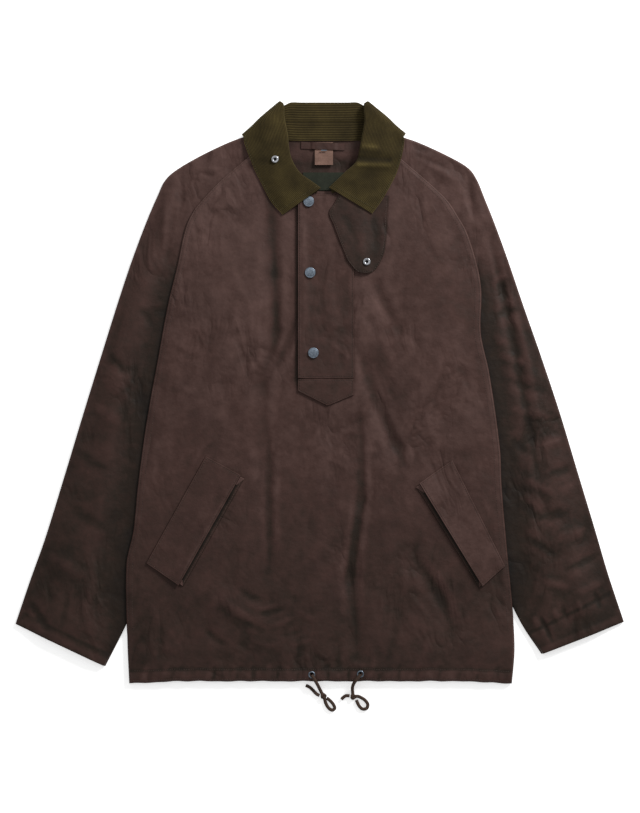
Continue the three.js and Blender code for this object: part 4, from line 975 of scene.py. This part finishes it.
def waxedCotton():
    v = waxedValues
    material, tree, shader, place = newMaterial("waxed_cotton_cloth", {"Specular IOR Level": v["shine"]})
    patch = noise(tree, place, v["patchScale"], 5.0, 0.6)
    mottle = noise(tree, place, v["mottleScale"], 7.0, 0.66)
    total = add(tree, attribute(tree, "tone"), centred(tree, patch), v["patchShare"])
    total = add(tree, total, centred(tree, mottle), v["mottleShare"])
    # Small sharp creases, where a noise crosses its middle, only in patches
    drawn = addNode(tree, "ShaderNodeMapping", inputs={"Vector": place, "Scale": v["creaseStretch"],
                                                       "Rotation": (0, 0, 0.35)}).outputs[0]
    line = noise(tree, drawn, v["creaseScale"], 3.0, 0.5)
    line.node.inputs["Distortion"].default_value = v["creaseTurn"]
    line = combine(tree, "ABSOLUTE", centred(tree, line), 0.0)
    line = combine(tree, "MINIMUM", combine(tree, "MULTIPLY", line, v["creaseSharp"]), 1.0)
    where = spread(tree, noise(tree, place, 9.0, 3.0), 0.44, 0.64)
    line = combine(tree, "MULTIPLY", combine(tree, "SUBTRACT", line, 1.0), where)
    # Painted shade: the small crease lines are also painted darker
    total = add(tree, total, line, v["creasePaintedShade"])
    # Painted highlight on the ridges and painted shade in the hollows, from the ridge attribute
    total = add(tree, total, centred(tree, attribute(tree, "ridge")), v["ridgeLightShadeShare"])
    brown = ramp(tree, total, v["colours"])
    greener = spread(tree, noise(tree, place, 14.0, 6.0, 0.7), 0.42, 0.72, 0.0, v["oliveShare"])
    dark = addNode(tree, "ShaderNodeMix", {"data_type": "RGBA", "blend_type": "OVERLAY"},
                   {"Factor": greener, 6: brown, 7: colour(v["olive"])}).outputs[2]
    tree.links.new(dark, shader.inputs["Base Color"])
    rough = spread(tree, mottle, 0.3, 0.7, v["roughLow"], v["roughHigh"])
    tree.links.new(rough, shader.inputs["Roughness"])
    first = bump(tree, noise(tree, place, v["softScale"], 5.0, 0.55), v["softDepth"], 0.5)
    second = bump(tree, noise(tree, place, v["crinkleScale"], 6.0, 0.6), v["crinkleDepth"], 0.5, first)
    creased = bump(tree, line, v["creaseDepth"], 0.6, second)
    third = bump(tree, noise(tree, place, v["slubScale"], 3.0), v["slubDepth"], 0.5, creased)
    tree.links.new(third, shader.inputs["Normal"])
    return material


# Corduroy: olive, painted darker between the wales as shade, with a soft pile sheen
corduroyValues = {
    "colours": [(0.0, "#151108"), (0.4, "#2d2512"), (0.7, "#463c20"), (1.0, "#6f6238")],
    "base": 0.055, "waleShadeShare": 0.44, "toneShare": 0.25,
    "patchScale": 26.0, "patchShare": 0.85, "pileScale": 700.0, "pileShare": 0.30, "pileDepth": 0.0002,
    "sheen": 0.22, "sheenColour": "#8a7d55",
}


def corduroyCloth():
    v = corduroyValues
    material, tree, shader, place = newMaterial("olive_corduroy", {
        "Roughness": 0.95, "Specular IOR Level": 0.15,
        "Sheen Weight": v["sheen"], "Sheen Tint": colour(v["sheenColour"])})
    pile = noise(tree, place, v["pileScale"], 3.0)
    total = add(tree, v["base"], attribute(tree, "wale"), v["waleShadeShare"])
    total = add(tree, total, centred(tree, noise(tree, place, v["patchScale"], 5.0)), v["patchShare"])
    total = add(tree, total, centred(tree, pile), v["pileShare"])
    total = add(tree, total, attribute(tree, "tone"), v["toneShare"])
    tree.links.new(ramp(tree, total, v["colours"]), shader.inputs["Base Color"])
    tree.links.new(bump(tree, pile, v["pileDepth"], 0.5), shader.inputs["Normal"])
    return material


# Plain woven cloth for the webbing, the label and the drawcord
def wovenCloth(name, dark, light, scale, depth=0.0003, byWale=False):
    material, tree, shader, place = newMaterial(name, {"Roughness": 0.85, "Specular IOR Level": 0.2})
    wave = {"Vector": place, "Scale": scale, "Distortion": 0.6}
    across, along = [addNode(tree, "ShaderNodeTexWave", {"bands_direction": axis}, wave).outputs["Fac"]
                     for axis in "XY"]
    # With byWale the colour follows the cord's braided relief: painted shade in its grooves
    threads = attribute(tree, "wale") if byWale else combine(tree, "MULTIPLY", across, along)
    mixed = combine(tree, "MULTIPLY_ADD", noise(tree, place, 120.0, 5.0), 0.5,
                    combine(tree, "MULTIPLY", threads, 0.6))
    tree.links.new(ramp(tree, mixed, [(0.1, dark), (0.9, light)]), shader.inputs["Base Color"])
    tree.links.new(bump(tree, threads, depth, 0.6), shader.inputs["Normal"])
    return material


# Metal with fine handling marks
def metal(name, dark, light, low, high):
    material, tree, shader, place = newMaterial(name, {"Metallic": 1.0})
    marks = noise(tree, place, 420.0, 6.0, 0.65)
    tree.links.new(ramp(tree, marks, [(0.3, dark), (0.7, light)]), shader.inputs["Base Color"])
    tree.links.new(spread(tree, marks, 0.3, 0.7, low, high), shader.inputs["Roughness"])
    tree.links.new(bump(tree, marks, 0.00004, 0.3), shader.inputs["Normal"])
    return material


# Sewing thread, twisted, a shade lighter than the cloth
def threadMaterial(name, dark, light):
    material, tree, shader, place = newMaterial(name, {"Roughness": 0.7})
    shade = noise(tree, place, 300.0, 3.0)
    tree.links.new(ramp(tree, shade, [(0.3, dark), (0.7, light)]), shader.inputs["Base Color"])
    return material


materials = {
    "waxed_cotton": waxedCotton(),
    "corduroy": corduroyCloth(),
    "webbing": wovenCloth("hanger_webbing_weave", "#4c382f", "#97776a", 320.0),
    "label_cloth": wovenCloth("label_satin", "#161812", "#34382c", 500.0, 0.00008),
    "gunmetal": metal("blued_gunmetal", "#59626d", "#8a95a1", 0.34, 0.46),
    "nickel": metal("nickel_plate", "#8f9196", "#c4c6ca", 0.22, 0.34),
    "cord": wovenCloth("drawcord_braid", "#1d1511", "#4e3c32", 300.0, 0.0002, byWale=True),
}
thread = threadMaterial("sewing_thread", "#2b201b", "#4e3b32")
oliveThread = threadMaterial("olive_sewing_thread", "#2d2713", "#5a5030")
# Painted shadow: the socket's hole gets a near-black metal for its unlit inside
socketHoleShadow = metal("socket_hole_painted_shadow", "#0c0c0d", "#1a1a1c", 0.5, 0.7)  # the snap's unlit inside


# Stitches: short threads laid along lines by one node group
def stitchTree():
    tree = bpy.data.node_groups.new("stitches_along_lines", "GeometryNodeTree")
    io = tree.interface
    io.new_socket("Geometry", in_out="INPUT", socket_type="NodeSocketGeometry")
    for name in ("Spacing", "Stitch Length", "Thread Width"):
        io.new_socket(name, in_out="INPUT", socket_type="NodeSocketFloat")
    io.new_socket("Material", in_out="INPUT", socket_type="NodeSocketMaterial")
    io.new_socket("Geometry", in_out="OUTPUT", socket_type="NodeSocketGeometry")
    given = addNode(tree, "NodeGroupInput").outputs
    points = addNode(tree, "GeometryNodeResampleCurve", {"mode": "LENGTH"},
                     {"Curve": given["Geometry"], "Length": given["Spacing"]})
    ball = addNode(tree, "GeometryNodeMeshIcoSphere", inputs={"Radius": 0.5, "Subdivisions": 1})
    size = addNode(tree, "ShaderNodeCombineXYZ", inputs={
        "X": given["Thread Width"], "Y": given["Thread Width"], "Z": given["Stitch Length"]})
    shaped = addNode(tree, "GeometryNodeTransform",
                     inputs={"Geometry": ball.outputs["Mesh"], "Scale": size.outputs[0]})
    tangent = addNode(tree, "GeometryNodeInputTangent").outputs[0]
    turn = addNode(tree, "FunctionNodeAlignRotationToVector", {"axis": "Z"}, {"Vector": tangent})
    laidOut = addNode(tree, "GeometryNodeInstanceOnPoints", inputs={
        "Points": points.outputs[0], "Instance": shaped.outputs[0], "Rotation": turn.outputs[0]})
    whole = addNode(tree, "GeometryNodeRealizeInstances", inputs={"Geometry": laidOut.outputs[0]})
    dressed = addNode(tree, "GeometryNodeSetMaterial",
                      inputs={"Geometry": whole.outputs[0], "Material": given["Material"]})
    addNode(tree, "NodeGroupOutput", inputs={"Geometry": dressed.outputs[0]})
    return tree


stitchSizes = {"Spacing": 3.3 * mm, "Stitch Length": 2.5 * mm, "Thread Width": 0.55 * mm}
stitching = stitchTree()


def stitches(name, lines, lift=0.12, yarn=thread):
    curve = bpy.data.curves.new(name, "CURVE")
    curve.dimensions = "3D"
    for line in lines:
        line = np.asarray(line, float)
        spline = curve.splines.new("POLY")
        spline.points.add(len(line) - 1)
        flat = np.concatenate([(line + (0, 0, lift)) * mm, np.ones((len(line), 1))], axis=1)
        spline.points.foreach_set("co", flat.reshape(-1))
    source = bpy.data.objects.new(name + "_lines", curve)
    scene.collection.objects.link(source)
    modifier = source.modifiers.new("stitches", "NODES")
    modifier.node_group = stitching
    for item in stitching.interface.items_tree:
        if item.in_out == "INPUT" and item.name in stitchSizes:
            modifier[item.identifier] = stitchSizes[item.name]
        if item.in_out == "INPUT" and item.name == "Material":
            modifier[item.identifier] = yarn
    evaluated = source.evaluated_get(bpy.context.evaluated_depsgraph_get())
    mesh = bpy.data.meshes.new_from_object(evaluated)
    bpy.data.objects.remove(source)
    mesh.name = name
    mesh.polygons.foreach_set("use_smooth", [True] * len(mesh.polygons))
    piece = bpy.data.objects.new(name, mesh)
    scene.collection.objects.link(piece)
    if not mesh.materials:
        mesh.materials.append(yarn)
    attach(piece, "root")
    return piece


def put(piece, slot, *nodes):
    piece.data.materials.clear()
    piece.data.materials.append(materials[slot])
    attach(piece, "root")
    if nodes:
        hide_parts(*nodes)
    return piece


# Assembly
front = put(makeFront(), "waxed_cotton", "front")
back = put(makeBack(), "waxed_cotton", "back")
sleeves = {side: put(makeSleeve(side), "waxed_cotton", f"sleeve_{side}") for side in sleeveSections}
print("panels made")
(stand, _), (fall, fallGrid) = makeCollar()
put(stand, "corduroy", "collar_stand")
put(fall, "corduroy", "collar_fall")
flaps = makeFlaps()
for node, (piece, grid) in flaps.items():
    put(piece, "waxed_cotton", node)
loop, webbing, label = makeNeck()
put(loop, "waxed_cotton", "hanger_loop")
put(webbing, "webbing", "hanger_webbing")
put(label, "label_cloth", "neck_label")
print("collar, flaps and neck pieces made")


def seat(node):
    low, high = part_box(node)
    return ((low[0] + high[0]) / 2 / mm, (low[1] + high[1]) / 2 / mm), low[2] / mm


for number in (1, 2, 3):
    place, z = seat(f"snap_cap_{number}")
    put(lathe(f"snap_cap_{number}_turned", capProfile, place, z), "gunmetal", f"snap_cap_{number}")
for node in ("snap_socket_collar", "snap_socket_tab"):
    place, z = seat(node)
    socket = put(lathe(node + "_turned", socketProfile, place, z), "nickel", node)
    socket.data.materials.append(socketHoleShadow)
    for face in socket.data.polygons:
        if math.hypot(face.center.x / mm - place[0], face.center.y / mm - place[1]) < 2.0:
            face.material_index = 1
for side in eyeletPlaces:
    place, z = seat(f"hem_eyelet_{side}")
    put(lathe(f"{side}_hem_eyelet_turned", eyeletProfile, place, z), "gunmetal", f"hem_eyelet_{side}")
barSizes = {"y": 341, "z": 7.65, "radius": 0.9, "in": 1}
barLow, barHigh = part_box("hanger_bar")
barEnds = [(x, barSizes["y"], barSizes["z"]) for x in (barLow[0] / mm + barSizes["in"],
                                                       barHigh[0] / mm - barSizes["in"])]
barPath = np.linspace(*barEnds, 24)
put(tube("hanger_bar_rod", barPath, barSizes["radius"], 20), "gunmetal", "hanger_bar")

cordPieces = []
for side in drawcords:
    line, path, tail, knot = makeDrawcord(side)
    put(line, "cord", f"drawcord_{side}_strand", f"drawcord_{side}_loop")
    put(tail, "cord", f"drawcord_{side}_tail")
    put(knot, "cord", f"drawcord_{side}_knot")
    cordPieces.append((line, path, tail, knot))
print("metal and drawcords made")


# Stitch lines on the front, the flaps, the sleeves and the collar
def lineOn(height, points, step=2.0):
    points = np.array(points, float)
    run = np.concatenate([[0], np.cumsum(np.linalg.norm(np.diff(points, axis=0), axis=1))])
    at = np.linspace(0, run[-1], max(3, int(run[-1] / step)))
    x, y = np.interp(at, run, points[:, 0]), np.interp(at, run, points[:, 1])
    return np.stack([x, y, height(x, y)], axis=1)


def aroundGrid(grid, inset=5):
    low, high = grid[inset, inset:-inset], grid[-1 - inset, inset:-inset]
    left, right = grid[inset:-inset, inset], grid[inset:-inset, -1 - inset]
    return {"low": low, "high": high, "left": left, "right": right}


seamY = np.linspace(-330, 352, 240)
frontLines = []
for side, sign in (("right", 1), ("left", -1)):
    for inwards in (3.0, 9.0):
        x = edgeOf[side](seamY) + sign * inwards
        frontLines.append(lineOn(frontShow, np.stack([x, seamY], axis=1)))
for fromX, toX, above in ((-262, 264, frontSizes["casing"]), (-264, 266, 4.5)):
    hemX = np.linspace(fromX, toX, 260)
    frontLines.append(lineOn(frontShow, np.stack([hemX, hemLine(hemX) + above], axis=1)))
frontStitches = stitches("front_stitches", frontLines)

flapStitches = {}
for node, (piece, grid) in flaps.items():
    lines = aroundGrid(grid)
    if node in ("placket", "throat_tab"):
        chosen = [lines["left"], lines["right"], lines["low"]]
    elif node.startswith("pocket_facing"):
        chosen = [grid[6:-6, -5]]
    else:
        chosen = list(lines.values())
    flapStitches[node] = stitches(node + "_stitches", chosen)

gussets = {}
for side in welts:
    gussets[f"pocket_facing_{side}"] = [put(makeGusset(side, end), "waxed_cotton") for end in gussetPlaces]

fallLines = [fallGrid[4:-4, -6], fallGrid[2, 40:-6], fallGrid[-3, 40:-6]]
collarStitches = stitches("collar_stitches", fallLines, 0.5, oliveThread)
print("stitches made")

# Cloth sizes in metres: what shows of each cut, all round on a tube, and its area
cutSizes = {
    "front": (0.545, 0.762, 0.346), "back": (0.545, 0.760, 0.344), "right": (0.31, 0.78, 0.188),
    "left": (0.31, 0.77, 0.177), "stand": (0.43, 0.018, 0.0069), "fall": (0.48, 0.085, 0.0364),
    "placket": (0.0785, 0.257, 0.0201), "placket_point": (0.078, 0.038, 0.0022),
    "throat_tab": (0.084, 0.110, 0.0070), "pocket_welt_right": (0.056, 0.176, 0.0096),
    "pocket_welt_left": (0.056, 0.170, 0.0083), "pocket_facing_right": (0.0125, 0.168, 0.0021),
    "pocket_facing_left": (0.0125, 0.168, 0.0020), "webbing": (0.0255, 0.032, 0.0008),
    "label": (0.0616, 0.0252, 0.00155),
}


def lies(piece, key, extras=()):
    width, length, area = cutSizes[key]


lies(back, "back", [loop])
for side, sleeve in sleeves.items():
    lies(sleeve, side)
lies(front, "front", [frontStitches])
lies(stand, "stand")
lies(fall, "fall", [collarStitches])
for node, (piece, grid) in flaps.items():
    lies(piece, node, [flapStitches[node], *gussets.get(node, [])])
lies(webbing, "webbing")
lies(label, "label")

# Drawcord facts
for side, (line, path, tail, knot) in zip(drawcords, cordPieces):
    length = float(np.linalg.norm(np.diff(path, axis=0), axis=1).sum()) * mm
    [tuple(float(v) for v in point) for point in path[::2] * mm]

# Floor and light
floorValues = {"half": 4, "z": -0.0002, "glow": 0.5, "roughness": 0.9}
floorMesh = bpy.data.meshes.new("paper_floor")
floorCorners = [(x * floorValues["half"], y * floorValues["half"], floorValues["z"])
                for x, y in ((-1, -1), (1, -1), (1, 1), (-1, 1))]
floorMesh.from_pydata(floorCorners, [], [(0, 1, 2, 3)])
floor = bpy.data.objects.new("paper_floor", floorMesh)
scene.collection.objects.link(floor)
paper, tree, shader, place = newMaterial("white_paper", {
    "Roughness": floorValues["roughness"], "Emission Color": (1, 1, 1, 1),
    "Emission Strength": floorValues["glow"]})
grain = noise(tree, place, 40.0, 3.0)
tree.links.new(ramp(tree, grain, [(0.3, "#f4f4f4"), (0.7, "#f8f8f8")]), shader.inputs["Base Color"])
floorMesh.materials.append(paper)

lightValues = {"key": (1.7, 1.9, 1.5, 92.0, 0.8), "fill": (-0.8, 1.2, 2.6, 10.0, 2.4), "world": 0.42}


def areaLight(name, x, y, z, power, size):
    data = bpy.data.lights.new(name, "AREA")
    data.energy, data.size = power, size
    lamp = bpy.data.objects.new(name, data)
    lamp.location = (x, y, z)
    aim = -lamp.location.normalized()
    lamp.rotation_euler = aim.to_track_quat("-Z", "Y").to_euler()
    scene.collection.objects.link(lamp)


areaLight("key", *lightValues["key"])
areaLight("fill", *lightValues["fill"])
world = bpy.data.worlds.new("studio")
world.use_nodes = True
world.node_tree.nodes["Background"].inputs["Color"].default_value = (1, 1, 1, 1)
world.node_tree.nodes["Background"].inputs["Strength"].default_value = lightValues["world"]
scene.world = world
scene.view_settings.view_transform = "Standard"

# Bring the scene up to date
bpy.context.view_layer.update()
